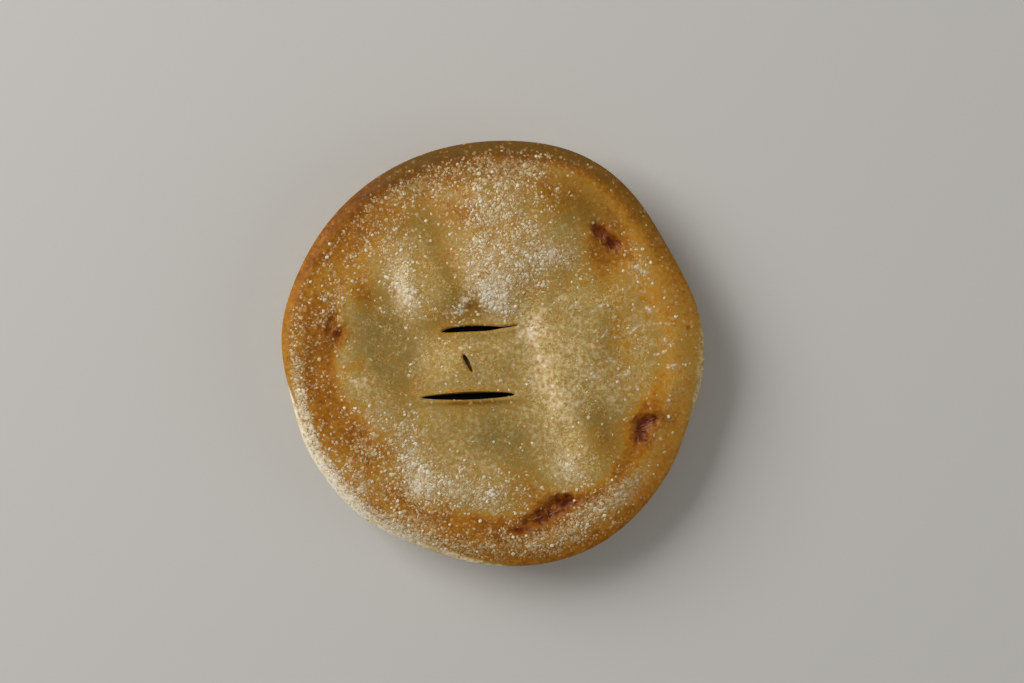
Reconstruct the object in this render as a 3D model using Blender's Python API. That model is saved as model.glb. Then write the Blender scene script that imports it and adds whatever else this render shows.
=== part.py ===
"""A whole apple pie of about 220 mm, uncut, standing on its flat bottom.

The lower crust tapers down to the bottom as it came out of its tin. The lid lies over
lumps of apple, so it swells and sinks, and its edge is rolled over with the lower
crust into a thick soft rim. Two long slits and one small hole let the steam out, four
spots are torn where juice has boiled through, and coarse sugar is baked on to the top.

The pie stands on Z = 0 with the middle of its outline on the Z axis. +Z is up.
"""
import math
import random

import bmesh
import bpy
from mathutils import Euler, Matrix, Vector, noise
from mathutils.bvhtree import BVHTree

# All sizes and places below are in millimetres, and bearings are in degrees from +X
# towards +Y. MM turns a length into metres where the mesh is written.
MM = 0.001

# The outline: a circle with soft bulges and flats, each with a bearing, a half width
# in degrees, and how far it stands out.
RIM_CENTRE = (0.5, 0.15)
RIM_RADIUS = 109.8
RIM_WAVES = (
    (30, 17, -4.0),
    (66, 19, 2.9),
    (172, 11, 1.2),
    (194, 11, -1.9),
    (215, 10, -0.6),
    (250, 14, -2.2),
    (296, 22, 3.7),
    (341, 12, -2.3),
)

# The rolled rim: its crest lies this far inside the outline, further on one side.
ROLL_WIDTH = 12.5
ROLL_SWING = 4.5
ROLL_WIDEST_AT = -20
CREST_RISE = 1.2
CREST_SWING = 1.2
CREST_HIGHEST_AT = -60
CREST_BREADTH = 8.0
WIDEST_HEIGHT = 27.0

# The lid between the crests of the rim falls a little from its middle outwards.
LID_HEIGHT = 35.0
LID_FALL = 2.6
LID_FALL_END = 0.8

# A slight unevenness of all the pastry: how large its waves are, and how deep.
UNEVEN_SIZE = 15.0
UNEVEN_DEPTH = 0.55

# The lower crust under the roll, and the flat bottom.
UNDER_INSET = 8.5
UNDER_DROP = 8.5
FOOT_RADIUS = 88.0
FOOT_FILLET = 5.0

# Swells of the lid over the apple, and hollows between: x, y, the bearing that the
# steep side faces, the reach in front, behind and to the sides, the rise, and how
# firmly the top is rounded off (1 is a soft hill, more is a flatter top).
SWELLS = {
    "north dome": (-0.5, 59, 182, 24, 38, 36, 4.6, 1.4),
    "foot of the north dome": (2.5, 34, 258, 14, 22, 24, 2.6, 1.5),
    "east side of the dome": (27, 50, 288, 13, 20, 24, 1.8, 1.4),
    "valley beside the dome": (-26, 52, 22, 8, 8, 26, -1.8, 1.0),
    "north west apple": (-38, 30, 192, 10, 22, 20, 4.8, 1.4),
    "west hollow": (-54.5, 3, 180, 18, 18, 20, -3.6, 1.0),
    "neck of the west hollow": (-62, 27, 180, 9, 9, 12, -1.6, 1.0),
    "west knob": (-74.5, -14, 180, 9, 12, 12, 1.6, 1.0),
    "south west shoulder": (-61, -36.5, 205, 14, 18, 24, 1.8, 1.0),
    "middle block": (-16, -5.5, 182, 13, 22, 16, 3.0, 1.3),
    "head of the east ridge": (34, 17, 180, 13, 36, 22, 4.0, 1.5),
    "middle of the east ridge": (41, -18, 186, 13, 30, 22, 4.8, 1.5),
    "foot of the east ridge": (52, -54, 190, 12, 18, 18, 5.0, 1.5),
    "south hollow": (4, -44, 180, 25, 22, 16, -2.6, 1.0),
    "west end of the south shelf": (-29.5, -60.5, 215, 16, 22, 28, 2.0, 1.0),
    "south shelf": (-1.5, -73, 265, 9, 9, 26, 1.2, 1.0),
    "east hollow": (64, 8, 180, 9, 9, 18, -1.5, 1.0),
    "south east hollow": (64, -40, 180, 12, 12, 14, -1.8, 1.0),
    "north east hollow": (50.5, 66.5, 180, 14, 12, 18, -1.8, 1.0),
    "east swell": (67, 30, 182, 16, 14, 18, 1.0, 1.0),
}

# Torn spots where juice has boiled through. Each is a few lobes that run together: x, y,
# half length, half width, the bearing of the length, and the depth. Their edges are
# ragged, and a low lip stands round them.
TORN_SPOTS = {
    "north east tear": ((55.8, 62.6, 4.6, 3.6, -50, 1.8), (62.2, 56.6, 4.6, 3.4, -60, 1.8)),
    "east tear": ((80.6, -34.8, 5.8, 2.9, 10, 1.9), (76.8, -41.5, 5.2, 3.7, 80, 1.7)),
    "south tear": (
        (35.6, -77.2, 9.0, 3.9, 8, 1.8),
        (25.0, -84.6, 8.5, 3.4, 22, 1.7),
        (14.6, -91.2, 5.5, 1.8, 16, 1.2),
    ),
    "west tear": ((-84.0, 14.5, 5.0, 1.9, 82, 1.2), (-80.4, 9.2, 3.6, 2.6, 40, 1.4)),
}
LOBE_BLEND = 3.0
RAG_SIZE = 3.4
RAG_SHARE = 0.34
LIP_AT = 1.55
LIP_BREADTH = 0.4
LIP_SHARE = 0.14

# Flaps of pastry that stand in the torn spots: one end, the other end, the breadth, and
# the rise. Bubbles of whole pastry stand in them too: x, y, the radius, and the rise.
FLAPS = (
    ((52.6, 61.4), (57.0, 57.6), 0.9, 0.7),
    ((57.0, 57.6), (63.2, 52.6), 0.7, 0.9),
    ((74.2, -42.8), (76.8, -47.4), 0.6, 0.6),
    ((27.0, -80.0), (29.2, -84.6), 0.6, 0.8),
    ((30.0, -82.4), (38.5, -79.4), 0.8, 0.5),
    ((38.5, -79.4), (44.0, -76.0), 0.7, 0.5),
    ((18.6, -85.8), (25.2, -85.2), 0.7, 0.5),
)
BUBBLES = ((-78.5, 15.9, 2.4, 0.8), (20.4, -84.6, 2.4, 0.5), (31.5, -79.8, 1.3, 0.3))

# The cuts in the lid: one end, the other end, the opening, the depth, how far the
# northern wall leans back, where the cut is widest, the share of the length that its
# lens takes, the width of the tail beyond the lens, and the sag and sway of its line.
CUTS = {
    "upper slit": ((-26.2, 11.2), (12.5, 14.5), 2.8, 9.0, 0.4, 0.46, 0.75, 0.3, 0.1, 0.4),
    "lower slit": ((-36.6, -23.0), (11.1, -21.3), 2.7, 9.0, 1.4, 0.55, 1.0, 0.0, 0.4, 0.0),
    "steam hole": ((-15.1, -0.8), (-10.6, -9.6), 1.9, 4.0, 0.4, 0.4, 1.0, 0.0, 0.0, 0.0),
}
CUT_TOP = 50.0
CUT_POINTS = 10
CUT_BLUNTNESS = 0.45

# Where sugar lies thickly: x, y, reach along X, reach along Y, and how thickly.
SUGAR_PATCHES = (
    (0, 58, 32, 40, 1.0),
    (-45, 62, 32, 30, 0.6),
    (-38, 28, 13, 16, 0.8),
    (-88, 8, 14, 42, 0.45),
    (-60, -58, 36, 26, 0.8),
    (-12, -74, 42, 20, 0.8),
    (24, -96, 42, 11, 0.5),
    (44, -52, 14, 18, 0.4),
    (62, -66, 16, 11, 0.35),
    (76, 42, 8, 15, 0.45),
)
SUGAR_EVERYWHERE = 0.1
SUGAR_BARE = (
    (-54, -2, 18, 24),
    (-3.5, -43, 22, 15),
    (48, 74, 20, 18),
    (-12, 4, 20, 6),
    (-27, 50, 7, 20),
)
CRYSTALS = 165
CRYSTAL_SPACING = 5.6
CRYSTAL_SIZE = (1.3, 1.9)
CRYSTAL_SUNK = 0.2
CRYSTAL_CLEAR_OF_CUT = 3.0
CRYSTAL_INSIDE_EDGE = 6.0
CRYSTAL_SEED = 11
# The one crystal that is much larger than the rest: x, y, and its size.
LARGEST_CRYSTAL = (-95.7, -33.5, 2.6)

# How finely the solid is faceted.
LID_RINGS = 14
ROLL_RINGS = 6
UNDER_STEPS = 3
WALL_STEPS = 2
FILLET_STEPS = 2
TEAR_CUTS = 4
TEAR_MARGIN = 1.3
WELD = 0.000005


def polar(x, y):
    """Distance and bearing of a point from the middle of the rim."""
    dx = x - RIM_CENTRE[0]
    dy = y - RIM_CENTRE[1]
    return math.hypot(dx, dy), math.degrees(math.atan2(dy, dx))


def from_polar(radius, bearing):
    """The point at a distance and a bearing from the middle of the rim."""
    angle = math.radians(bearing)
    return RIM_CENTRE[0] + radius * math.cos(angle), RIM_CENTRE[1] + radius * math.sin(angle)


def swing(bearing, at):
    """1 at one bearing, -1 opposite it, and smooth between."""
    return math.cos(math.radians(bearing - at))


def rim_radius(bearing):
    """Radius of the outline at a bearing."""
    radius = RIM_RADIUS
    for at, half_width, amount in RIM_WAVES:
        turn = (bearing - at + 180) % 360 - 180
        radius += amount * math.exp(-(turn / half_width) ** 2)
    return radius


def roll_width(bearing):
    """How far the crest of the rim lies inside the outline."""
    return ROLL_WIDTH + ROLL_SWING * swing(bearing, ROLL_WIDEST_AT)


def local_axes(dx, dy, bearing):
    """An offset measured along a bearing and across it."""
    angle = math.radians(bearing)
    along = dx * math.cos(angle) + dy * math.sin(angle)
    across = dy * math.cos(angle) - dx * math.sin(angle)
    return along, across


def swell_rise(swell, x, y):
    """What one swell or hollow adds to the lid at a point."""
    at_x, at_y, facing, front, back, side, rise, firmness = swell
    ahead, aside = local_axes(x - at_x, y - at_y, facing)
    reach = front if ahead > 0 else back
    distance = (ahead / reach) ** 2 + (aside / side) ** 2
    return rise * math.exp(-distance ** firmness)


def noise_at(x, y, z, size):
    """Smooth noise between about -1 and 1, with waves of a given size."""
    return noise.noise(Vector((x, y, z)) / size)


def lobe_distance(lobe, x, y):
    """0 in the middle of one lobe of a torn spot and 1 at its edge."""
    at_x, at_y, half_length, half_width, bearing, _ = lobe
    along, across = local_axes(x - at_x, y - at_y, bearing)
    return math.hypot(along / half_length, across / half_width)


def tear_distance(tear, x, y):
    """0 in the middle of a torn spot and 1 at its ragged edge."""
    near = sum(math.exp(-LOBE_BLEND * lobe_distance(lobe, x, y)) for lobe in tear)
    return -math.log(max(near, 1e-12)) / LOBE_BLEND + RAG_SHARE * noise_at(x, y, 0, RAG_SIZE)


def tear_rise(tear, x, y):
    """What one torn spot adds: a hollow, and a lip round it."""
    distance = max(tear_distance(tear, x, y), 0)
    weights = [math.exp(-LOBE_BLEND * lobe_distance(lobe, x, y)) + 1e-12 for lobe in tear]
    depth = sum(lobe[-1] * weight for lobe, weight in zip(tear, weights)) / sum(weights)
    lip = math.exp(-((distance - LIP_AT) / LIP_BREADTH) ** 2)
    return depth * (LIP_SHARE * lip - math.exp(-distance ** 4))


def line_distance(start, end, x, y):
    """Distance of a point from a straight line between two others."""
    run_x, run_y = end[0] - start[0], end[1] - start[1]
    share = ((x - start[0]) * run_x + (y - start[1]) * run_y) / (run_x ** 2 + run_y ** 2)
    share = min(max(share, 0), 1)
    return math.hypot(x - start[0] - run_x * share, y - start[1] - run_y * share)


def shred_rise(x, y):
    """What the flaps and bubbles of pastry add at a point."""
    rise = 0
    for start, end, breadth, flap_rise in FLAPS:
        rise += flap_rise * math.exp(-(line_distance(start, end, x, y) / breadth) ** 2)
    for at_x, at_y, radius, bubble_rise in BUBBLES:
        rise += bubble_rise * math.exp(-(math.hypot(x - at_x, y - at_y) / radius) ** 4)
    return rise


def unevenness(x, y, z):
    """How far the pastry stands out from its smooth shape at a point."""
    return UNEVEN_DEPTH * noise_at(x, y, z, UNEVEN_SIZE)


def lid_height(x, y):
    """Height of the lid above the bottom of the pie, without the fall of the roll."""
    radius, bearing = polar(x, y)
    edge = rim_radius(bearing)
    crest = edge - roll_width(bearing)
    height = LID_HEIGHT - LID_FALL * min(radius / (LID_FALL_END * edge), 1) ** 2
    rise = CREST_RISE + CREST_SWING * swing(bearing, CREST_HIGHEST_AT)
    height += rise * math.exp(-((radius - crest) / CREST_BREADTH) ** 2)
    for swell in SWELLS.values():
        height += swell_rise(swell, x, y)
    for tear in TORN_SPOTS.values():
        height += tear_rise(tear, x, y)
    return height + shred_rise(x, y) + unevenness(x, y, 0)


def wrap(i, j):
    """The place on the pie's top of a point of a square grid.

    The grid's square rings become round ones. The inner rings share out the lid, and
    the outer ones go over the roll of the rim by equal angles, down to its widest line.
    """
    ring = max(abs(i), abs(j))
    if ring == 0:
        x, y = RIM_CENTRE
        return x, y, lid_height(x, y)
    if abs(i) >= abs(j):
        bearing = 45 * j / i + (0 if i > 0 else 180)
    else:
        bearing = 90 - 45 * i / j + (0 if j > 0 else 180)
    edge = rim_radius(bearing)
    roll = roll_width(bearing)
    over = max(ring - LID_RINGS, 0) / ROLL_RINGS * math.pi / 2
    radius = (edge - roll) * min(ring / LID_RINGS, 1) + roll * math.sin(over)
    x, y = from_polar(radius, bearing)
    return x, y, WIDEST_HEIGHT + (lid_height(x, y) - WIDEST_HEIGHT) * math.cos(over)


def side_section(bearing):
    """Radius and height of the rings below the widest line, from top to bottom."""
    edge = rim_radius(bearing)
    crease_radius = edge - UNDER_INSET
    crease_height = WIDEST_HEIGHT - UNDER_DROP
    section = []
    for step in range(1, UNDER_STEPS + 1):
        under = math.pi / 2 * step / UNDER_STEPS
        radius = crease_radius + UNDER_INSET * math.cos(under)
        section.append((radius, WIDEST_HEIGHT - UNDER_DROP * math.sin(under)))
    for step in range(1, WALL_STEPS + 1):
        down = step / WALL_STEPS
        radius = crease_radius + (FOOT_RADIUS - crease_radius) * down
        section.append((radius, crease_height + (FOOT_FILLET - crease_height) * down))
    for step in range(1, FILLET_STEPS + 1):
        round_foot = math.pi / 2 * step / FILLET_STEPS
        radius = FOOT_RADIUS - FOOT_FILLET * (1 - math.cos(round_foot))
        section.append((radius, FOOT_FILLET * (1 - math.sin(round_foot))))
    return section


def refine_tears(bm):
    """Divides the grid more finely where the torn spots will be."""
    close = set()
    for face in bm.faces:
        centre = face.calc_center_median()
        x, y, _ = wrap(centre.x, centre.y)
        if any(tear_distance(tear, x, y) < TEAR_MARGIN for tear in TORN_SPOTS.values()):
            close.update(face.edges)
    bmesh.ops.subdivide_edges(bm, edges=list(close), cuts=TEAR_CUTS, use_grid_fill=True)


def make_pie_mesh():
    """The pie without its cuts and its sugar, as one closed mesh."""
    half = LID_RINGS + ROLL_RINGS
    bm = bmesh.new()
    bmesh.ops.create_grid(bm, x_segments=2 * half, y_segments=2 * half, size=half)
    refine_tears(bm)
    for vert in bm.verts:
        vert.co = Vector(wrap(vert.co.x, vert.co.y))
    boundary = [edge for edge in bm.edges if edge.is_boundary]
    for ring in range(UNDER_STEPS + WALL_STEPS + FILLET_STEPS):
        extruded = bmesh.ops.extrude_edge_only(bm, edges=boundary)["geom"]
        boundary = [item for item in extruded if isinstance(item, bmesh.types.BMEdge)]
        boundary = [edge for edge in boundary if edge.is_boundary]
        for vert in {vert for edge in boundary for vert in edge.verts}:
            bearing = polar(vert.co.x, vert.co.y)[1]
            radius, height = side_section(bearing)[ring]
            x, y = from_polar(radius, bearing)
            x, y = from_polar(radius + unevenness(x, y, height), bearing)
            vert.co = Vector((x, y, height))
    bmesh.ops.contextual_create(bm, geom=boundary)
    bmesh.ops.triangulate(bm, faces=bm.faces)
    bmesh.ops.recalc_face_normals(bm, faces=bm.faces)
    bmesh.ops.scale(bm, vec=(MM, MM, MM), verts=bm.verts)
    return bm


def new_object(name, bm, collection):
    """An object made from a bmesh, which is used up."""
    mesh = bpy.data.meshes.new(name)
    bm.to_mesh(mesh)
    bm.free()
    thing = bpy.data.objects.new(name, mesh)
    collection.objects.link(thing)
    return thing


def cut_line(cut, share):
    """A point on the line of a cut, and the direction that is north of it."""
    start = Vector(cut[0])
    run = Vector(cut[1]) - start
    north = Vector((-run.y, run.x)).normalized()
    if north.y < 0:
        north.negate()
    sag, sway = cut[8:]
    aside = sway * math.sin(math.tau * share) - sag * math.sin(math.pi * share)
    return start + run * share + north * aside, north


def lens(share):
    """A blunt lens between 0 and 1, which is 1 wide in the middle."""
    return max(math.sin(math.pi * share), 0) ** CUT_BLUNTNESS


def cut_swelling(cut, share):
    """How wide a cut is along its length, from 0 at its ends to 1."""
    widest_at, lens_share, tail = cut[5:8]
    skewed = min(share / lens_share, 1) ** (math.log(0.5) / math.log(widest_at))
    return lens(skewed) * (1 - tail) + lens(share) * tail


def make_cutter(name, cut, collection):
    """A closed blade whose sides leave one cut in the lid."""
    opening, depth, lean = cut[2:5]
    middle, _ = cut_line(cut, 0.5)
    floor = lid_height(*middle) - depth
    shares = [step / CUT_POINTS for step in range(CUT_POINTS)]
    bm = bmesh.new()
    rings = []
    for height, back in ((floor, 0.0), (CUT_TOP, lean * (CUT_TOP - floor) / depth)):
        ring = []
        for side, wall in ((-1, 0.0), (1, back)):
            for share in shares if side < 0 else [1 - share for share in shares]:
                swelling = cut_swelling(cut, share) if 0 < share < 1 else 0
                point, north = cut_line(cut, share)
                point = point + north * side * (opening / 2 + wall) * swelling
                ring.append(bm.verts.new((point.x * MM, point.y * MM, height * MM)))
        rings.append(ring)
    count = len(rings[0])
    bm.faces.new(rings[0])
    bm.faces.new(rings[1])
    for k in range(count):
        after = (k + 1) % count
        bm.faces.new((rings[0][k], rings[0][after], rings[1][after], rings[1][k]))
    bmesh.ops.recalc_face_normals(bm, faces=bm.faces)
    return new_object(name, bm, collection)


def sugar_cover(x, y):
    """How thickly sugar lies at a point, from 0 to 1."""
    cover = SUGAR_EVERYWHERE
    for at_x, at_y, reach_x, reach_y, amount in SUGAR_PATCHES:
        cover += amount * math.exp(-((x - at_x) / reach_x) ** 2 - ((y - at_y) / reach_y) ** 2)
    for at_x, at_y, reach_x, reach_y in SUGAR_BARE:
        distance = ((x - at_x) / reach_x) ** 2 + ((y - at_y) / reach_y) ** 2
        cover *= 1 - math.exp(-distance ** 2)
    for tear in TORN_SPOTS.values():
        cover *= 1 - math.exp(-tear_distance(tear, x, y) ** 4)
    return min(cover, 1)


def cut_distance(cut, x, y):
    """Distance of a point from the line between the ends of a cut."""
    return line_distance(cut[0], cut[1], x, y)


def crystal_places(rng):
    """Places for the largest sugar crystals, spaced out and thickest where sugar is."""
    places = []
    while len(places) < CRYSTALS:
        bearing = rng.uniform(0, 360)
        radius = (rim_radius(bearing) - CRYSTAL_INSIDE_EDGE) * math.sqrt(rng.random())
        x, y = from_polar(radius, bearing)
        if rng.random() > sugar_cover(x, y):
            continue
        if min(cut_distance(cut, x, y) for cut in CUTS.values()) < CRYSTAL_CLEAR_OF_CUT:
            continue
        if any(math.hypot(x - a, y - b) < CRYSTAL_SPACING for a, b in places):
            continue
        places.append((x, y))
    return places


def make_crystal(name, size, place, rng, collection):
    """One blocky crystal of coarse sugar, tumbled and partly baked in."""
    bm = bmesh.new()
    bmesh.ops.create_cube(bm, size=1)
    stretch = Vector([rng.uniform(0.75, 1.1) for _ in range(3)]) * size
    tumble = Euler([rng.uniform(0, math.tau) for _ in range(3)]).to_matrix()
    for vert in bm.verts:
        vert.co = place + tumble @ (vert.co * stretch) * MM
    bmesh.ops.triangulate(bm, faces=bm.faces)
    bmesh.ops.recalc_face_normals(bm, faces=bm.faces)
    return new_object(name, bm, collection)


def apply_boolean(body, others, operation, solver):
    """Cuts a collection out of a body or joins it on, and then removes the collection."""
    modifier = body.modifiers.new(operation.lower(), "BOOLEAN")
    modifier.operation = operation
    modifier.solver = solver
    modifier.operand_type = "COLLECTION"
    modifier.collection = others
    bpy.context.view_layer.objects.active = body
    bpy.ops.object.modifier_apply(modifier=modifier.name)
    for thing in list(others.objects):
        bpy.data.objects.remove(thing)
    bpy.data.collections.remove(others)


def new_collection(name):
    """An empty collection in the scene."""
    collection = bpy.data.collections.new(name)
    bpy.context.scene.collection.children.link(collection)
    return collection


def cut_lid(pie):
    """Opens the slits and the steam hole."""
    blades = new_collection("blades")
    for name, cut in CUTS.items():
        make_cutter(name, cut, blades)
    apply_boolean(pie, blades, "DIFFERENCE", "EXACT")


def sprinkle(pie):
    """Fuses the largest sugar crystals to the top.

    The exact solver leaves a few broken edges where this many small grains meet the
    curved top, so the manifold one joins them.
    """
    rng = random.Random(CRYSTAL_SEED)
    grains = new_collection("sugar")
    surface = BVHTree.FromPolygons(
        [vert.co for vert in pie.data.vertices],
        [polygon.vertices for polygon in pie.data.polygons],
    )
    crystals = [(x, y, rng.uniform(*CRYSTAL_SIZE)) for x, y in crystal_places(rng)]
    for number, (x, y, size) in enumerate([*crystals, LARGEST_CRYSTAL]):
        above = Vector((x, y, CUT_TOP)) * MM
        hit, normal, _, _ = surface.ray_cast(above, Vector((0, 0, -1)))
        place = hit + normal * size * CRYSTAL_SUNK * MM
        make_crystal(f"crystal_{number}", size, place, rng, grains)
    apply_boolean(pie, grains, "UNION", "MANIFOLD")


def tidy_mesh(pie):
    """Welds what the cuts and the sugar left too close, and centres the outline."""
    bm = bmesh.new()
    bm.from_mesh(pie.data)
    bmesh.ops.remove_doubles(bm, verts=bm.verts, dist=WELD)
    bmesh.ops.dissolve_degenerate(bm, edges=bm.edges, dist=WELD)
    bmesh.ops.triangulate(bm, faces=bm.faces)
    spans = [(min(v.co[axis] for v in bm.verts), max(v.co[axis] for v in bm.verts)) for axis in (0, 1)]
    shift = Vector((-sum(spans[0]) / 2, -sum(spans[1]) / 2, 0))
    bmesh.ops.translate(bm, vec=shift, verts=bm.verts)
    bm.to_mesh(pie.data)
    bm.free()
    pie.data.shade_smooth()
    pie.data.set_sharp_from_angle(angle=math.radians(35))
    print("outline moved by", [round(value / MM, 3) for value in shift])


def crust_material():
    """Baked pastry: golden brown and only slightly glossy."""
    material = bpy.data.materials.new("crust")
    material.use_nodes = True
    shader = material.node_tree.nodes["Principled BSDF"]
    shader.inputs["Base Color"].default_value = (0.42, 0.25, 0.08, 1)
    shader.inputs["Roughness"].default_value = 0.55
    shader.inputs["Metallic"].default_value = 0.0
    return material


def main():
    for thing in list(bpy.data.objects):
        bpy.data.objects.remove(thing)
    pie = new_object("pie", make_pie_mesh(), bpy.context.scene.collection)
    cut_lid(pie)
    sprinkle(pie)
    tidy_mesh(pie)
    pie.data.materials.clear()
    pie.data.materials.append(crust_material())
    print("pie:", len(pie.data.polygons), "triangles")


main()
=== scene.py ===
# %% [markdown]
# # A whole apple pie
#
# This is a lesson in building one baked thing so that it looks right from every side.
# The pie is about 220 mm across: a lid of pastry over lumps of apple, a thick rolled
# rim, a plain lower crust, two long steam slits, four spots where juice has boiled
# through, and coarse sugar all over the top. The solid of the pie is loaded first as a
# fixed frame. Everything made here lies on that form.

# %% Load the frame
import math
import random

import bpy
import numpy as np
from mathutils import Euler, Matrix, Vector, noise
from mathutils.bvhtree import BVHTree


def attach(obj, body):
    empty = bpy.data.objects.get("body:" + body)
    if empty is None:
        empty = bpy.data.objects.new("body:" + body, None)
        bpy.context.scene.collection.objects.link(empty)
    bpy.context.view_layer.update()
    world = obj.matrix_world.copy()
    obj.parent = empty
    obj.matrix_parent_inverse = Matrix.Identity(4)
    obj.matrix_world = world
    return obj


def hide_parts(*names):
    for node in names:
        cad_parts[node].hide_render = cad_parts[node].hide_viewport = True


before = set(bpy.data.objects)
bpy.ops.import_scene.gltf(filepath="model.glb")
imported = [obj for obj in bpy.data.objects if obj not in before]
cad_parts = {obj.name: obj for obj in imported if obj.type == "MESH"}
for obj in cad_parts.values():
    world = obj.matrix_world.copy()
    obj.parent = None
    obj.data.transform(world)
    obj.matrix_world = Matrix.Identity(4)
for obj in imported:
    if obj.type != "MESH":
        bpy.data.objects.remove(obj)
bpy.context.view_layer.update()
bpy.ops.object.select_all(action="DESELECT")

# %% [markdown]
# ## Sizes
#
# The solid of the pie follows a few driving sizes, and the fine crust repeats them, so
# that it lies on the same form. All sizes are in millimetres and all bearings in
# degrees from +X towards +Y. A dictionary with a name for each swell of the lid is
# easier to change than a height picture, and it never runs out of detail.

# %% Driving sizes of the form
MM = 0.001

RIM_CENTRE = (0.5, 0.15)
RIM_RADIUS = 109.8
RIM_WAVES = (
    (30, 17, -4.0),
    (66, 19, 2.9),
    (172, 11, 1.2),
    (194, 11, -1.9),
    (215, 10, -0.6),
    (250, 14, -2.2),
    (296, 22, 3.7),
    (341, 12, -2.3),
)
ROLL_WIDTH = 12.5
ROLL_SWING = 4.5
ROLL_WIDEST_AT = -20
CREST_RISE = 1.2
CREST_SWING = 1.2
CREST_HIGHEST_AT = -60
CREST_BREADTH = 8.0
WIDEST_HEIGHT = 27.0

LID_HEIGHT = 35.0
LID_FALL = 2.6
LID_FALL_END = 0.8
UNEVEN_SIZE = 15.0
UNEVEN_DEPTH = 0.55

UNDER_INSET = 8.5
UNDER_DROP = 8.5
FOOT_RADIUS = 88.0
FOOT_FILLET = 5.0

# %% Swells of the lid
# x, y, facing, reach in front, behind and aside, rise, firmness
SWELLS = {
    "north dome": (-0.5, 59, 182, 24, 38, 36, 4.6, 1.4),
    "foot of the north dome": (2.5, 34, 258, 14, 22, 24, 2.6, 1.5),
    "east side of the dome": (27, 50, 288, 13, 20, 24, 1.8, 1.4),
    "valley beside the dome": (-26, 52, 22, 8, 8, 26, -1.8, 1.0),
    "north west apple": (-38, 30, 192, 10, 22, 20, 4.8, 1.4),
    "west hollow": (-54.5, 3, 180, 18, 18, 20, -3.6, 1.0),
    "neck of the west hollow": (-62, 27, 180, 9, 9, 12, -1.6, 1.0),
    "west knob": (-74.5, -14, 180, 9, 12, 12, 1.6, 1.0),
    "south west shoulder": (-61, -36.5, 205, 14, 18, 24, 1.8, 1.0),
    "middle block": (-16, -5.5, 182, 13, 22, 16, 3.0, 1.3),
    "head of the east ridge": (34, 17, 180, 13, 36, 22, 4.0, 1.5),
    "middle of the east ridge": (41, -18, 186, 13, 30, 22, 4.8, 1.5),
    "foot of the east ridge": (52, -54, 190, 12, 18, 18, 5.0, 1.5),
    "south hollow": (4, -44, 180, 25, 22, 16, -2.6, 1.0),
    "west end of the south shelf": (-29.5, -60.5, 215, 16, 22, 28, 2.0, 1.0),
    "south shelf": (-1.5, -73, 265, 9, 9, 26, 1.2, 1.0),
    "east hollow": (64, 8, 180, 9, 9, 18, -1.5, 1.0),
    "south east hollow": (64, -40, 180, 12, 12, 14, -1.8, 1.0),
    "north east hollow": (50.5, 66.5, 180, 14, 12, 18, -1.8, 1.0),
    "east swell": (67, 30, 182, 16, 14, 18, 1.0, 1.0),
}

# %% Torn spots and cuts of the lid
# each lobe: x, y, half length, half width, bearing of the length, depth
TORN_SPOTS = {
    "north east tear": ((55.8, 62.6, 4.6, 3.6, -50, 1.8), (62.2, 56.6, 4.6, 3.4, -60, 1.8)),
    "east tear": ((80.6, -34.8, 5.8, 2.9, 10, 1.9), (76.8, -41.5, 5.2, 3.7, 80, 1.7)),
    "south tear": (
        (35.6, -77.2, 9.0, 3.9, 8, 1.8),
        (25.0, -84.6, 8.5, 3.4, 22, 1.7),
        (14.6, -91.2, 5.5, 1.8, 16, 1.2),
    ),
    "west tear": ((-84.0, 14.5, 5.0, 1.9, 82, 1.2), (-80.4, 9.2, 3.6, 2.6, 40, 1.4)),
}
LOBE_BLEND = 3.0
# keeps the blend from dividing by 0 far away
LEAST_WEIGHT = 1e-12
RAG_SIZE = 3.4
RAG_SHARE = 0.34
LIP_AT = 1.55
LIP_BREADTH = 0.4
LIP_SHARE = 0.14
# one end, other end, opening, depth, lean of the northern wall, where it is widest,
# share of the length that the lens takes, width of the tail, sag and sway of its line
CUTS = {
    "upper slit": ((-26.2, 11.2), (12.5, 14.5), 2.8, 9.0, 0.4, 0.46, 0.75, 0.3, 0.1, 0.4),
    "lower slit": ((-36.6, -23.0), (11.1, -21.3), 2.7, 9.0, 1.4, 0.55, 1.0, 0.0, 0.4, 0.0),
    "steam hole": ((-15.1, -0.8), (-10.6, -9.6), 1.9, 4.0, 0.4, 0.4, 1.0, 0.0, 0.0, 0.0),
}
CUT_TOP = 50.0
CUT_BLUNTNESS = 0.45

# %% [markdown]
# ## The form as functions
#
# Each function below takes whole arrays of points at once, because the fine crust has
# tens of thousands of them. They work out the outline, the lid's height and the
# section of the side, from the sizes above.

# %% Bearings and distances
def polar(x, y):
    """Distance and bearing of points from the middle of the rim."""
    dx = x - RIM_CENTRE[0]
    dy = y - RIM_CENTRE[1]
    return np.hypot(dx, dy), np.degrees(np.arctan2(dy, dx))


def from_polar(radius, bearing):
    """Points at a distance and a bearing from the middle of the rim."""
    angle = np.radians(bearing)
    return RIM_CENTRE[0] + radius * np.cos(angle), RIM_CENTRE[1] + radius * np.sin(angle)


def turned(bearing, at):
    """How far bearings are from one bearing, between -180 and 180."""
    return (bearing - at + 180) % 360 - 180


def local_axes(dx, dy, bearing):
    """Offsets measured along a bearing and across it."""
    angle = math.radians(bearing)
    along = dx * math.cos(angle) + dy * math.sin(angle)
    across = dy * math.cos(angle) - dx * math.sin(angle)
    return along, across


def bell(distance, reach, firmness=2):
    """1 in the middle, about a third at the reach and 0 far away."""
    return np.exp(-(distance / reach) ** firmness)


def waves_at(base, waves, bearing):
    """A value round the rim: its base, and what each wave adds near its own bearing."""
    value = np.full(np.shape(bearing), base)
    for at, half_width, amount in waves:
        value = value + amount * bell(turned(bearing, at), half_width)
    return value


def spot_at(x, y, at_x, at_y, radius, firmness=4):
    """1 over a round spot and 0 away from it."""
    return bell(np.hypot(x - at_x, y - at_y), radius, firmness)


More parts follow.
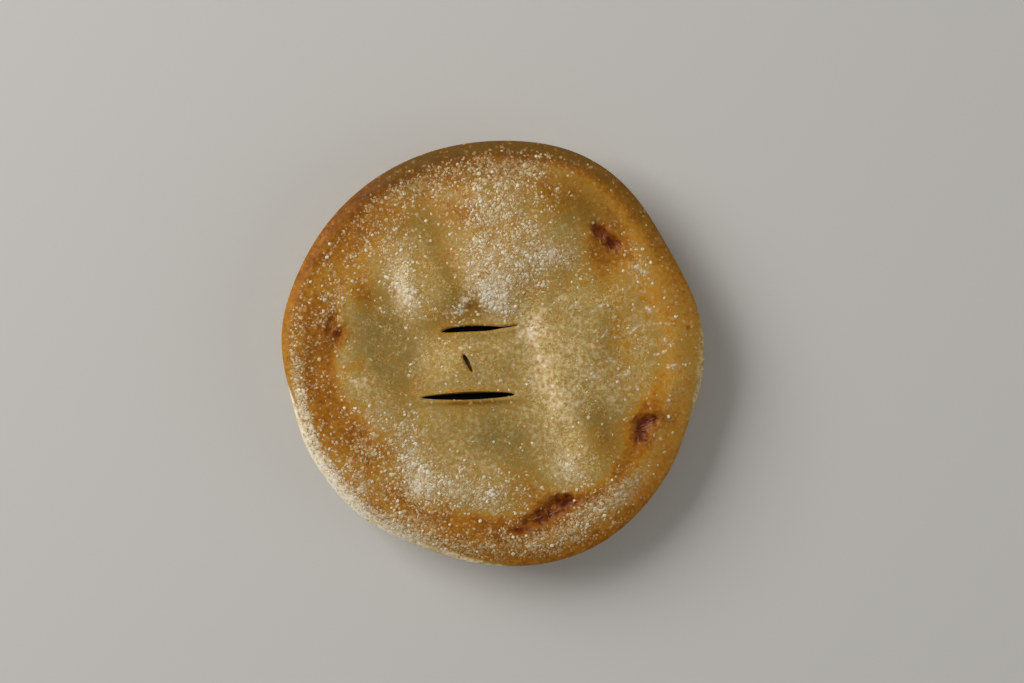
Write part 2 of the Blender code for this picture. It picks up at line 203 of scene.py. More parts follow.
def noise_at(x, y, z, size):
    """Smooth noise between about -1 and 1, with waves of a given size."""
    points = np.stack(np.broadcast_arrays(x, y, z), axis=-1).reshape(-1, 3) / size
    return np.array([noise.noise(point) for point in points.tolist()])


# %% The outline and the lid
def rim_radius(bearing):
    return waves_at(RIM_RADIUS, RIM_WAVES, bearing)


def roll_width(bearing):
    return ROLL_WIDTH + ROLL_SWING * np.cos(np.radians(bearing - ROLL_WIDEST_AT))


def swell_rise(swell, x, y):
    at_x, at_y, facing, front, back, side, rise, firmness = swell
    ahead, aside = local_axes(x - at_x, y - at_y, facing)
    distance = (ahead / np.where(ahead > 0, front, back)) ** 2 + (aside / side) ** 2
    return rise * np.exp(-distance ** firmness)


def lobe_distance(lobe, x, y):
    """0 in the middle of one lobe of a torn spot and 1 at its edge."""
    at_x, at_y, half_length, half_width, bearing, _ = lobe
    along, across = local_axes(x - at_x, y - at_y, bearing)
    return np.hypot(along / half_length, across / half_width)


def tear_distance(tear, x, y):
    """0 in the middle of a torn spot and 1 at its ragged edge."""
    near = sum(np.exp(-LOBE_BLEND * lobe_distance(lobe, x, y)) for lobe in tear)
    return -np.log(near) / LOBE_BLEND + RAG_SHARE * noise_at(x, y, 0, RAG_SIZE)


def tear_rise(tear, x, y):
    distance = np.maximum(tear_distance(tear, x, y), 0)
    weights = [np.exp(-LOBE_BLEND * lobe_distance(lobe, x, y)) + LEAST_WEIGHT for lobe in tear]
    depth = sum(lobe[-1] * weight for lobe, weight in zip(tear, weights)) / sum(weights)
    lip = bell(distance - LIP_AT, LIP_BREADTH)
    return depth * (LIP_SHARE * lip - bell(distance, 1, 4))


def unevenness(x, y, z):
    return UNEVEN_DEPTH * noise_at(x, y, z, UNEVEN_SIZE)


def lid_height(x, y):
    """Height of the lid, without the fall of the roll."""
    radius, bearing = polar(x, y)
    edge = rim_radius(bearing)
    crest = edge - roll_width(bearing)
    height = LID_HEIGHT - LID_FALL * np.minimum(radius / (LID_FALL_END * edge), 1) ** 2
    rise = CREST_RISE + CREST_SWING * np.cos(np.radians(bearing - CREST_HIGHEST_AT))
    height = height + rise * bell(radius - crest, CREST_BREADTH)
    for swell in SWELLS.values():
        height = height + swell_rise(swell, x, y)
    for tear in TORN_SPOTS.values():
        height = height + tear_rise(tear, x, y)
    return height + unevenness(x, y, 0)


# %% Distance from the cuts
def cut_line(cut, share):
    """Points on the line of a cut, and its northward direction."""
    start, end = np.array(cut[0]), np.array(cut[1])
    run = end - start
    north = np.array((-run[1], run[0])) / np.hypot(*run)
    north = north if north[1] > 0 else -north
    sag, sway = cut[8], cut[9]
    aside = sway * np.sin(2 * math.pi * share) - sag * np.sin(math.pi * share)
    return start[0] + run[0] * share + north[0] * aside, start[1] + run[1] * share + north[1] * aside, north


def cut_share(cut, x, y):
    """Share of a cut's length that points lie along."""
    start, end = np.array(cut[0]), np.array(cut[1])
    run = end - start
    return np.clip(((x - start[0]) * run[0] + (y - start[1]) * run[1]) / run.dot(run), 0, 1)


def cut_distance(cut, x, y):
    """Distance of points from the line of a cut."""
    line_x, line_y, _ = cut_line(cut, cut_share(cut, x, y))
    return np.hypot(x - line_x, y - line_y)


def cut_swelling(cut, share):
    """How wide a cut is along its length, from 0 at its ends to 1."""
    widest_at, lens, tail = cut[5:8]
    skewed = np.clip(share / lens, 0, 1) ** (math.log(0.5) / math.log(widest_at))
    swelling = np.sin(math.pi * skewed).clip(0) ** CUT_BLUNTNESS
    return swelling * (1 - tail) + tail * np.sin(math.pi * share).clip(0) ** CUT_BLUNTNESS


def outside_cut(cut, x, y):
    """Distance of points outside the edge of a cut, and 0 inside it."""
    half_width = cut[2] / 2 * cut_swelling(cut, cut_share(cut, x, y))
    return np.maximum(cut_distance(cut, x, y) - half_width, 0)


middle_height = float(lid_height(np.array([0.0]), np.array([0.0]))[0])
print("the middle of the lid is", round(middle_height, 1), "mm high")

# %% [markdown]
# ## Camera, floor and light
#
# The pie is seen from straight above, a little to one side of the middle of the
# picture. A lens of 70 mm from about a metre away flattens it as a product picture
# does. The light comes low and soft from the left, so that every swell has a bright
# and a shaded side, and a weak sky fills the shadows.

# %% Camera
FRAME_WIDTH_MM = 532.5
VIEW_CENTRE = (9.9, 6.2)
LENS = 70.0
SENSOR = 36.0

camera_data = bpy.data.cameras.new("camera")
camera_data.lens = LENS
camera_data.sensor_width = SENSOR
camera = bpy.data.objects.new("camera", camera_data)
bpy.context.scene.collection.objects.link(camera)
camera_distance = FRAME_WIDTH_MM * LENS / SENSOR
camera.location = (VIEW_CENTRE[0] * MM, VIEW_CENTRE[1] * MM, (WIDEST_HEIGHT + camera_distance) * MM)
bpy.context.scene.camera = camera
print("the camera is", round(camera.location.z, 3), "m up")


# %% Floor
def plain_material(name, color, roughness):
    """A Principled material with one colour and one roughness."""
    material = bpy.data.materials.new(name)
    material.use_nodes = True
    shader = material.node_tree.nodes["Principled BSDF"]
    shader.inputs["Base Color"].default_value = (*color, 1)
    shader.inputs["Roughness"].default_value = roughness
    return material


FLOOR_SIZE = 6.0
FLOOR_COLOR = (0.62, 0.62, 0.61)
FLOOR_ROUGHNESS = 0.8

bpy.ops.mesh.primitive_plane_add(size=FLOOR_SIZE, location=(0, 0, 0))
floor = bpy.context.object
floor.name = "floor"
floor.data.materials.append(plain_material("plain_floor", FLOOR_COLOR, FLOOR_ROUGHNESS))

# %% Light
# bearing, elevation, distance, size, power
KEY_LIGHT = (150, 36, 3.0, 2.0, 77.0)
FILL_LIGHT = (-12, 26, 3.0, 2.0, 13.0)
LIGHT_COLOR = (1.0, 0.97, 0.92)
SKY_COLOR = (1.0, 0.97, 0.92)
SKY_STRENGTH = 0.23


def add_light(name, bearing, elevation, distance, size, power):
    """A square soft light that looks at the pie from a bearing and an elevation."""
    data = bpy.data.lights.new(name, "AREA")
    data.size = size
    data.energy = power
    data.color = LIGHT_COLOR
    light = bpy.data.objects.new(name, data)
    bpy.context.scene.collection.objects.link(light)
    away = Vector((1, 0, 0))
    away.rotate(Euler((0, -math.radians(elevation), math.radians(bearing))))
    light.location = away * distance
    light.rotation_euler = away.to_track_quat("Z", "Y").to_euler()
    return light


key_light = add_light("key", *KEY_LIGHT)
add_light("fill", *FILL_LIGHT)
print("key light at", [round(value, 2) for value in key_light.location])
world = bpy.data.worlds.new("studio")
world.use_nodes = True
world.node_tree.nodes["Background"].inputs["Color"].default_value = (*SKY_COLOR, 1)
world.node_tree.nodes["Background"].inputs["Strength"].default_value = SKY_STRENGTH
bpy.context.scene.world = world
bpy.context.scene.view_settings.view_transform = "Standard"

# %% [markdown]
# ## The crust sheet
#
# The crust could be sculpted, or made by turning a profile, but this pie isn't round
# enough for a turned shape. So a square grid is wrapped on to it: the square rings of
# the grid become the rings of the pie, the outer ones roll over the rim, and no point
# in the middle gathers hundreds of thin triangles as the pole of a turned shape would.
# Before it is wrapped, the grid is divided more finely where the tears and cuts will
# be, because torn pastry has smaller forms than the rest.

# %% Add the grid and divide it where it matters
LID_RINGS = 80
ROLL_RINGS = 24
HALF = LID_RINGS + ROLL_RINGS
# how near a torn spot, as a share of its size, and a cut the grid is divided, and how often
FINE_TEAR = 2.0
FINE_CUT = 4.5
FINE_CUTS = 2


def ring_and_bearing(i, j):
    """The ring of grid points counted from the middle, and their bearing."""
    ring = np.maximum(np.abs(i), np.abs(j))
    safe = np.where(ring == 0, 1, ring)
    wide = np.abs(i) >= np.abs(j)
    east = 45 * j / np.where(wide, np.where(i == 0, safe, i), safe) + np.where(i < 0, 180, 0)
    north = 90 - 45 * i / np.where(wide, safe, np.where(j == 0, safe, j)) + np.where(j < 0, 180, 0)
    return ring, np.where(wide, east, north)


def wrap(i, j):
    """Place of grid points on the top, and how far each is over the roll, 0 to 1."""
    ring, bearing = ring_and_bearing(i, j)
    over = np.maximum(ring - LID_RINGS, 0) / ROLL_RINGS
    edge = rim_radius(bearing)
    roll = roll_width(bearing)
    radius = (edge - roll) * np.minimum(ring / LID_RINGS, 1) + roll * np.sin(over * math.pi / 2)
    x, y = from_polar(radius, bearing)
    return x, y, over


def get_points(mesh):
    """All vertex places of a mesh as an array."""
    flat = np.empty(len(mesh.vertices) * 3)
    mesh.vertices.foreach_get("co", flat)
    return flat.reshape(-1, 3)


def set_points(mesh, points):
    mesh.vertices.foreach_set("co", np.ascontiguousarray(points).ravel())
    mesh.update()


def set_selected(mesh, faces):
    """Selects exactly the faces that a mask names."""
    mesh.vertices.foreach_set("select", np.zeros(len(mesh.vertices), bool))
    mesh.edges.foreach_set("select", np.zeros(len(mesh.edges), bool))
    mesh.polygons.foreach_set("select", faces)


bpy.ops.mesh.primitive_grid_add(x_subdivisions=2 * HALF, y_subdivisions=2 * HALF, size=2 * HALF)
crust = bpy.context.object
crust.name = "crust"
centres = np.empty(len(crust.data.polygons) * 3)
crust.data.polygons.foreach_get("center", centres)
centres = centres.reshape(-1, 3)
flat_x, flat_y, _ = wrap(centres[:, 0], centres[:, 1])
close = np.zeros(len(centres), bool)
for tear in TORN_SPOTS.values():
    close |= tear_distance(tear, flat_x, flat_y) < FINE_TEAR
for cut in CUTS.values():
    close |= cut_distance(cut, flat_x, flat_y) < FINE_CUT
set_selected(crust.data, close)
bpy.context.tool_settings.mesh_select_mode = (False, False, True)
bpy.ops.object.mode_set(mode="EDIT")
bpy.ops.mesh.subdivide(number_cuts=FINE_CUTS)
bpy.ops.object.mode_set(mode="OBJECT")
print("divided", int(close.sum()), "of", len(centres), "cells; now", len(crust.data.polygons))

# %% [markdown]
# ## Fine relief of the pastry
#
# Baked pastry isn't smooth: it has low blisters, the edge of each cut curls up and
# then rounds down into the cut, and the torn spots are ragged. All of this is small,
# under half a millimetre but for the tears, so the form of the solid is kept.

# %% Relief functions
BLISTER_SIZE = 5.0
BLISTER_DEPTH = 0.16
PORE_SIZE = 1.7
PORE_DEPTH = 0.05
# the curl is highest this far outside a cut
CURL_AT = 1.0
CURL_REACH = 2.2
CURL_RISE = 0.55
SHOULDER_REACH = 0.55
SHOULDER_DROP = 0.9
SHRED_DEPTH = 0.22
SHRED_LENGTH = 4.0
SHRED_WIDTH = 1.6
SHRED_STEEPNESS = 3
SHRED_REACH = 1.2
# flaps of pastry at the torn spots: one end, other end, breadth, rise
FLAPS = (
    ((52.6, 61.4), (57.0, 57.6), 0.55, 0.7),
    ((57.0, 57.6), (63.2, 52.6), 0.45, 0.8),
    ((74.2, -42.8), (76.8, -47.4), 0.45, 0.6),
    ((27.0, -80.0), (29.2, -84.6), 0.4, 0.8),
    ((30.0, -82.4), (38.5, -79.4), 0.5, 0.5),
    ((38.5, -79.4), (44.0, -76.0), 0.5, 0.5),
    ((18.6, -85.8), (25.2, -85.2), 0.45, 0.5),
)
FLAP_SWAY = 1.6
FLAP_SWAY_SIZE = 2.6
# the slices of noise that sway a flap along X and along Y
SWAY_SLICES = (3.0, 9.0)
# whole pastry that stands like a bubble in or by a torn spot: x, y, radius, rise
BUBBLES = ((-78.5, 15.9, 2.4, 0.8), (20.4, -84.6, 2.4, 0.5), (31.5, -79.8, 1.3, 0.3))
# a pit where the lid has sunk: x, y, radius, depth
DIMPLE = (-11.2, 23.3, 2.0, 0.9)
# a crease in the lid, from point to point
CREASE = ((57.2, 77.2), (63.4, 68.4), (69.2, 59.0), (71.2, 51.2), (76.4, 40.8))
CREASE_BREADTH = 1.1
CREASE_DEPTH = 0.3


def fine_relief(x, y, z):
    """Low blisters and pores, the same all over."""
    return BLISTER_DEPTH * noise_at(x, y, z, BLISTER_SIZE) + PORE_DEPTH * noise_at(x, y, z, PORE_SIZE)


def cut_relief(x, y):
    """The curled and rounded edges of the cuts."""
    relief = np.zeros(np.shape(x))
    for cut in CUTS.values():
        outside = outside_cut(cut, x, y)
        relief += CURL_RISE * bell(outside - CURL_AT, CURL_REACH)
        relief -= SHOULDER_DROP * bell(outside, SHOULDER_REACH)
    return relief


def line_distance(start, end, x, y):
    """Distance of points from a straight line between two others."""
    run_x, run_y = end[0] - start[0], end[1] - start[1]
    share = ((x - start[0]) * run_x + (y - start[1]) * run_y) / (run_x ** 2 + run_y ** 2)
    share = np.clip(share, 0, 1)
    return np.hypot(x - start[0] - run_x * share, y - start[1] - run_y * share)


def flap_distance(start, end, x, y):
    """Distance of points from the swaying line of a flap."""
    sway_x, sway_y = (FLAP_SWAY * noise_at(x, y, slice_z, FLAP_SWAY_SIZE) for slice_z in SWAY_SLICES)
    return line_distance(start, end, x + sway_x, y + sway_y)


def flap_highlight_mask(x, y):
    flaps = [bell(flap_distance(start, end, x, y), breadth) for start, end, breadth, _ in FLAPS]
    return np.max(flaps, axis=0)


def bubble_mask(x, y):
    return np.max([spot_at(x, y, *bubble[:3]) for bubble in BUBBLES], axis=0)


def crease_mask(x, y):
    near = np.min([line_distance(start, end, x, y) for start, end in zip(CREASE, CREASE[1:])], axis=0)
    return bell(near, CREASE_BREADTH)


def tear_relief(x, y):
    """Shreds, flaps and bubbles of pastry at the torn spots, and the pits of the lid."""
    relief = np.zeros(np.shape(x))
    for tear in TORN_SPOTS.values():
        at_x, at_y, _, _, bearing, _ = tear[0]
        along, across = local_axes(x - at_x, y - at_y, bearing)
        shreds = noise_at(along / SHRED_LENGTH, across / SHRED_WIDTH, at_x, 1.0)
        ridges = 1 - SHRED_STEEPNESS * np.abs(shreds)
        relief += SHRED_DEPTH * ridges * bell(tear_distance(tear, x, y), SHRED_REACH, 4)
    for start, end, breadth, flap_rise in FLAPS:
        relief += flap_rise * bell(flap_distance(start, end, x, y), breadth)
    for *bubble, bubble_rise in BUBBLES:
        relief += bubble_rise * spot_at(x, y, *bubble)
    *pit, pit_depth = DIMPLE
    relief -= pit_depth * spot_at(x, y, *pit, 2)
    return relief - CREASE_DEPTH * crease_mask(x, y)


# %% Wrap the grid on to the pie
points = get_points(crust.data)
x, y, over = wrap(points[:, 0], points[:, 1])
top = lid_height(x, y) + cut_relief(x, y) + tear_relief(x, y)
z = WIDEST_HEIGHT + (top - WIDEST_HEIGHT) * np.cos(over * math.pi / 2)
z += fine_relief(x, y, z) * np.cos(over * math.pi / 2)
set_points(crust.data, np.stack((x, y, z), axis=1) * MM)
print("the top spans", round(z.min(), 1), "to", round(z.max(), 1), "mm")

# %% [markdown]
# ## The side and the bottom
#
# The open edge of the sheet is extruded again and again, each time to the next ring of
# the side's section: under the roll, down the wall that the tin shaped, round the
# foot. One face then closes the bottom, which is flat.

# %% Section of the side
UNDER_STEPS = 8
WALL_STEPS = 10
FILLET_STEPS = 4


def side_section(step, bearing):
    """Radius and height of one ring below the widest line."""
    edge = rim_radius(bearing)
    crease_radius = edge - UNDER_INSET
    crease_height = WIDEST_HEIGHT - UNDER_DROP
    if step <= UNDER_STEPS:
        under = math.pi / 2 * step / UNDER_STEPS
        radius = crease_radius + UNDER_INSET * math.cos(under)
        return radius, np.full(len(bearing), WIDEST_HEIGHT - UNDER_DROP * math.sin(under))
    step -= UNDER_STEPS
    if step <= WALL_STEPS:
        down = step / WALL_STEPS
        radius = crease_radius + (FOOT_RADIUS - crease_radius) * down
        return radius, np.full(len(bearing), crease_height + (FOOT_FILLET - crease_height) * down)
    round_foot = math.pi / 2 * (step - WALL_STEPS) / FILLET_STEPS
    radius = FOOT_RADIUS - FOOT_FILLET * (1 - math.cos(round_foot))
    return np.full(len(bearing), radius), np.full(len(bearing), FOOT_FILLET * (1 - math.sin(round_foot)))


# %% Extrude the side and close the bottom
bpy.context.tool_settings.mesh_select_mode = (False, True, False)
bpy.ops.object.mode_set(mode="EDIT")
bpy.ops.mesh.select_all(action="DESELECT")
bpy.ops.mesh.select_non_manifold(
    use_wire=False, use_multi_face=False, use_non_contiguous=False, use_verts=False
)
for step in range(1, UNDER_STEPS + WALL_STEPS + FILLET_STEPS + 1):
    bpy.ops.mesh.extrude_edges_move()
    bpy.ops.object.mode_set(mode="OBJECT")
    chosen = np.empty(len(crust.data.vertices), bool)
    crust.data.vertices.foreach_get("select", chosen)
    points = get_points(crust.data)
    bearing = polar(points[chosen, 0] / MM, points[chosen, 1] / MM)[1]
    radius, height = side_section(step, bearing)
    ring_x, ring_y = from_polar(radius, bearing)
    stands_out = unevenness(ring_x, ring_y, height) + fine_relief(ring_x, ring_y, height)
    ring_x, ring_y = from_polar(radius + stands_out, bearing)
    points[chosen] = np.stack((ring_x, ring_y, height), axis=1) * MM
    set_points(crust.data, points)
    bpy.ops.object.mode_set(mode="EDIT")
bpy.ops.mesh.edge_face_add()
bpy.ops.mesh.select_all(action="SELECT")
bpy.ops.mesh.normals_make_consistent(inside=False)
bpy.ops.object.mode_set(mode="OBJECT")
print("crust:", len(crust.data.polygons), "faces before the cuts")

# %% [markdown]
# ## The slits and the steam hole
#
# A slit made with a knife gapes in the oven into a long lens. A blade of that shape is
# made from a circle, pressed flat and pulled up, and a Boolean takes it out of the
# crust. The northern wall of the lower slit leans back, so its cut pastry shows. The
# Boolean lists its faces in any order, so they are put in one order after it. The sugar
# that is scattered over them later then falls in the same places each time.

# %% Cut the lid
BLADE_POINTS = 20
# a point this near the middle line of the blade is one of its two ends
BLADE_END = 1e-6


def make_blade(name, cut):
    """A closed blade whose sides are the walls of one cut."""
    opening, cut_depth, lean = cut[2:5]
    bpy.ops.mesh.primitive_circle_add(vertices=2 * BLADE_POINTS, fill_type="NGON")
    blade = bpy.context.object
    blade.name = name
    bpy.ops.object.mode_set(mode="EDIT")
    bpy.ops.mesh.select_all(action="SELECT")
    bpy.ops.mesh.extrude_region_move(TRANSFORM_OT_translate={"value": (0, 0, 1)})
    bpy.ops.object.mode_set(mode="OBJECT")
    points = get_points(blade.data)
    share = (1 - points[:, 0]) / 2
    side = np.where(np.abs(points[:, 1]) < BLADE_END, 0, np.sign(points[:, 1]))
    x, y, north = cut_line(cut, share)
    middle_x, middle_y, _ = cut_line(cut, np.array([0.5]))
    low = float(lid_height(middle_x, middle_y)[0]) - cut_depth
    height = np.where(points[:, 2] > 0.5, CUT_TOP, low)
    back = np.where(side > 0, lean * (height - low) / cut_depth, 0)
    offset = side * (opening / 2 + back) * cut_swelling(cut, share)
    x = x + north[0] * offset
    y = y + north[1] * offset
    set_points(blade.data, np.stack((x, y, height), axis=1) * MM)
    bpy.ops.object.mode_set(mode="EDIT")
    bpy.ops.mesh.select_all(action="SELECT")
    bpy.ops.mesh.normals_make_consistent(inside=False)
    bpy.ops.object.mode_set(mode="OBJECT")
    return blade


def apply_modifier(piece, modifier):
    bpy.ops.object.select_all(action="DESELECT")
    bpy.context.view_layer.objects.active = piece
    bpy.ops.object.modifier_apply(modifier=modifier.name)


def cut_with(body, blade):
    """Takes a blade out of a body, and then removes the blade."""
    modifier = body.modifiers.new("cut", "BOOLEAN")
    modifier.operation = "DIFFERENCE"
    modifier.object = blade
    apply_modifier(body, modifier)
    bpy.data.objects.remove(blade)


def put_in_order(mesh):
    """Lists the faces from the lowest vertex up, since a Boolean lists them in any order."""
    faces = []
    for polygon in mesh.polygons:
        corners = list(polygon.vertices)
        first = corners.index(min(corners))
        faces.append(corners[first:] + corners[:first])
    points = [tuple(vertex.co) for vertex in mesh.vertices]
    mesh.clear_geometry()
    mesh.from_pydata(points, [], sorted(faces))


for cut_name, cut in CUTS.items():
    cut_with(crust, make_blade(cut_name, cut))
put_in_order(crust.data)
print("crust:", len(crust.data.polygons), "faces after the cuts")

# %% [markdown]
# ## Masks
#
# How far the pastry is baked, where sugar lies and how deep a point is in a cut change
# from place to place, so they are worked out once for each vertex and kept in the mesh
# as named attributes. The bake, soak and flour masks also hold painted shade and light.
# The materials then read them, and the sugar is scattered by the same mask that tints
# the crust beneath it.

# %% A soft step
def smooth_step(low, high, value):
    """0 at one value and 1 at another, and smooth between."""
    share = np.clip((value - low) / (high - low), 0, 1)
    return share * share * (3 - 2 * share)


# %% Where coarse sugar lies
# x, y, reach along X, reach along Y, how thickly
SUGAR_PATCHES = (
    (0, 58, 32, 40, 1.0),
    (-45, 62, 32, 30, 0.6),
    (-38, 28, 13, 16, 0.8),
    (-88, 8, 14, 42, 0.45),
    (-60, -58, 36, 26, 0.8),
    (-12, -74, 42, 20, 0.8),
    (24, -96, 42, 11, 0.5),
    (44, -52, 14, 18, 0.4),
    (62, -66, 16, 11, 0.35),
    (76, 42, 8, 15, 0.45),
)
SUGAR_EVERYWHERE = 0.1
SUGAR_BARE = (
    (-54, -2, 18, 24),
    (-3.5, -43, 22, 15),
    (48, 74, 20, 18),
    (-12, 4, 20, 6),
    (-27, 50, 7, 20),
)

# %% Where fine sugar lies
# bearing, half width in degrees, distance inside the edge, breadth, how thickly
SUGAR_BANKS = (
    (129, 15, 10.0, 1.8, 0.6),
    (223, 28, 7.0, 1.8, 0.8),
    (176, 18, 6.0, 2.0, 0.3),
    (262, 24, 7.0, 3.0, 0.35),
    (296, 18, 13.0, 3.0, 0.3),
)
# x, y, reach along a bearing, reach across it, the bearing, how thickly
FINE_SUGAR = {
    "dome": (1, 62, 31, 27, 90, 0.85),
    "east side of the dome": (33, 51, 14, 9, 0, 0.42),
    "foot of the dome": (8, 33, 22, 9, 20, 0.6),
    "valley beside the dome": (-23, 46, 24, 6, -66, -0.6),
    "north west": (-56, 62, 28, 18, 50, 0.45),
    "inside the northern rim": (2, 95, 40, 6, 4, 0.28),
    "north of the north west lump": (-34, 70, 18, 8, 10, -0.15),
    "above the dome": (12, 88, 18, 8, -8, 0.4),
    "foot of the north west slope": (-58, 44, 12, 8, 30, -0.2),
    "north west apple": (-44, 31, 17, 9, 110, 0.6),
    "western rim": (-100, -8, 24, 4.5, 92, 0.8),
    "west side": (-86, 0, 34, 8, 90, 0.16),
    "north west side": (-82, 27, 12, 8, 75, 0.5),
    "south west": (-56, -60, 27, 15, -42, 0.65),
    "south west shelf": (-38, -52, 22, 9, -60, 0.55),
    "south west of the shelf": (-55, -62, 9, 6, -50, -0.4),
    "west part of the south shelf": (-22, -76, 8, 6, 0, -0.25),
    "south shelf": (-18, -71, 32, 11, -6, 0.85),
    "inside the southern rim": (-20, -86, 24, 4, -8, -0.12),
    "south rim": (2, -98, 46, 7, 4, 0.6),
    "south south west rim": (-40, -94, 26, 7, -22, 0.5),
    "south east crest": (48, -83, 30, 6, 36, 0.6),
    "foot of the ridge": (43, -56, 12, 8, -75, 0.35),
    "by the north east tear": (73, 46, 14, 5, -65, 0.4),
}
FINE_EVERYWHERE = 0.07
# sugar gathers in drifts: how large they are and how much they change the cover
DRIFTS = ((11.0, 0.8), (4.5, 0.8))
# how much of it has gone where the lid is bare of coarse sugar
BARE_SHARE = 0.75
# how far out a torn spot keeps it off, as a share of the spot's size
CLEAR_OF_TEAR = 1.3
# the dark pit above the upper slit, which sugar has slid out of: x, y, reach
BARE_PIT = (-9.6, 24.0, 4.2)
# the rim that sugar has rolled off: bearing, half width in degrees, how far inside the edge
BARE_RIM = ((137, 24, 6.5), (95, 25, 2.5))
BARE_RIM_LEAST = 1.0
SUGAR_EDGE = 3.5

# %% Where melted sugar is a white film
# x, y, reach along a bearing, reach across it, the bearing, how thickly
SUGAR_FILM = {
    "dome": (2, 56, 28, 24, 90, 0.25),
    "east side of the dome": (30, 51, 13, 8, 0, 0.6),
    "north of the north west lump": (-26, 80, 10, 7, 10, 0.35),
    "north of the dome": (16, 97, 20, 4, -8, 0.3),
    "south south west side": (-38, -87, 10, 4, -20, 0.5),
    "south west side": (-69, -65, 10, 4, -45, 0.5),
    "beside the south west knob": (-61, -36, 6, 12, 0, 0.3),
    "east of the west hollow": (-38, -5, 5, 8, 0, 0.3),
    "foot of the dome": (0, 31, 9, 9, 20, 1.2),
    "clumps west of the pit": (-15.5, 25, 6, 2.6, 60, 0.75),
    "trail of clumps to the upper slit": (-19, 21, 4.5, 1.7, 12, 0.65),
    "clumps on the west side of the dome": (-13, 38, 7, 2.6, 75, 0.3),
    "inside the north west rim": (-44, 84, 18, 5, 28, 0.35),
    "lower part of the dome": (5, 47, 18, 7, 0, 0.3),
    "west side of the dome": (-11, 47, 8, 6, 0, 0.3),
    "slope of the north west lump": (-41, 54, 9, 5, 0, 0.35),
    "neck of the west hollow": (-57, 24, 7, 5, 0, 0.25),
    "by the west tear": (-77, -1, 5, 5, 0, 0.4),
    "inside the northern rim": (2, 92, 40, 8, 4, 0.2),
    "west of the lower slit": (-38, -20, 16, 12, 0, 0.16),
    "south west knob": (-60, -33, 12, 10, 0, 0.16),
    "south west corner of the shelf": (-38, -70, 6, 5, 0, 0.5),
    "south rim": (24, -94, 7, 4, 20, 0.4),
    "south east rim": (86, -40, 16, 4, 72, 0.25),
    "crest south of the east tear": (66, -74, 16, 6, 42, 0.65),
    "below the dome": (8, 23, 9, 4, 0, 0.5),
    "north west apple": (-46, 33, 16, 6.5, 115, 1.0),
    "north west lump": (-56, 64, 20, 10, 45, 0.1),
    "edge of the south west shelf": (-41, -57, 20, 6, -70, 0.65),
    "middle of the shelf": (-26, -66, 12, 6, -20, 0.3),
    "south shelf": (-14, -71, 28, 7, -5, 0.45),
    "southern edge of the shelf": (-3, -79, 9, 4, 0, 0.4),
    "foot of the ridge": (38, -60, 11, 7, -75, 0.85),
    "south east crest": (44, -84, 30, 4, 36, 0.35),
}
# along the south western rim: bearing, half width, distance inside the edge, breadth, how thickly
FILM_BANK = (220, 32, 5.0, 3.0, 1.6)
# streaks of melted sugar and flour: one end, other end, breadth
STREAKS = (
    ((82.8, 15.3), (94.0, 15.3), 0.5),
    ((79.4, 23.6), (82.0, 21.4), 1.3),
    ((74.6, 44.0), (78.0, 41.6), 1.5),
    ((84.8, -0.6), (89.6, 1.4), 0.9),
    ((87.6, 6.9), (89.8, 6.5), 0.8),
    ((91.4, 4.6), (93.0, 3.2), 1.0),
    ((90.4, -7.2), (95.4, -5.4), 0.9),
    ((71.0, 11.0), (76.0, 14.5), 1.2),
    ((60.0, -3.0), (66.0, -6.0), 1.0),
    ((50.0, 21.0), (57.0, 25.0), 1.0),
    ((64.0, -12.0), (70.5, -10.0), 0.9),
    ((56.0, 8.0), (59.5, 13.0), 1.0),
    ((47.0, -8.0), (53.0, -12.5), 1.0),
)
STREAK_FILM = 0.9


# %% How thickly sugar lies at a place
def oval_distance(x, y, at_x, at_y, reach_x, reach_y):
    """The square of a distance from the middle of an oval, which is 1 at its edge."""
    return ((x - at_x) / reach_x) ** 2 + ((y - at_y) / reach_y) ** 2


def sugar_cover(x, y):
    """How thickly sugar lies at points of the lid, from 0 to 1."""
    cover = np.full(np.shape(x), SUGAR_EVERYWHERE)
    for *oval, amount in SUGAR_PATCHES:
        cover = cover + amount * np.exp(-oval_distance(x, y, *oval))
    for oval in SUGAR_BARE:
        cover = cover * (1 - bell(oval_distance(x, y, *oval), 1))
    for tear in TORN_SPOTS.values():
        cover = cover * (1 - bell(tear_distance(tear, x, y), 1, 4))
    return np.minimum(cover, 1)


def patches_at(patches, x, y):
    """The sum of soft oval patches at points."""
    total = np.zeros(np.shape(x))
    for at_x, at_y, reach, reach_across, patch_bearing, amount in patches.values():
        along, across = local_axes(x - at_x, y - at_y, patch_bearing)
        total = total + amount * np.exp(-(along / reach) ** 2 - (across / reach_across) ** 2)
    return total


def pit_mask(x, y):
    return spot_at(x, y, *BARE_PIT)


def streak_mask(x, y):
    streaks = [bell(line_distance(start, end, x, y), breadth) for start, end, breadth in STREAKS]
    return np.max(streaks, axis=0)


def fine_sugar(x, y, inside, bearing):
    """How thickly the fine sugar lies, with the banks that have rolled down to the rim."""
    cover = np.minimum(FINE_EVERYWHERE + patches_at(FINE_SUGAR, x, y), 1)
    for size, share in DRIFTS:
        cover = cover * np.clip(1 + share * noise_at(x, y, size, size), 0, 2)
    bare = sum(BARE_SHARE * np.exp(-oval_distance(x, y, *oval)) for oval in SUGAR_BARE)
    cover = cover * np.clip(1 - bare, 0, 1)
    for at, half_width, distance, breadth, amount in SUGAR_BANKS:
        along = bell(turned(bearing, at), half_width)
        cover = cover + amount * along * bell(inside - distance, breadth)
    for tear in TORN_SPOTS.values():
        cover = cover * (1 - bell(tear_distance(tear, x, y), CLEAR_OF_TEAR, 4))
    cover = cover * (1 - pit_mask(x, y))
    rim = waves_at(BARE_RIM_LEAST, BARE_RIM, bearing)
    return np.clip(cover * smooth_step(rim, rim + SUGAR_EDGE, inside), 0, 1)


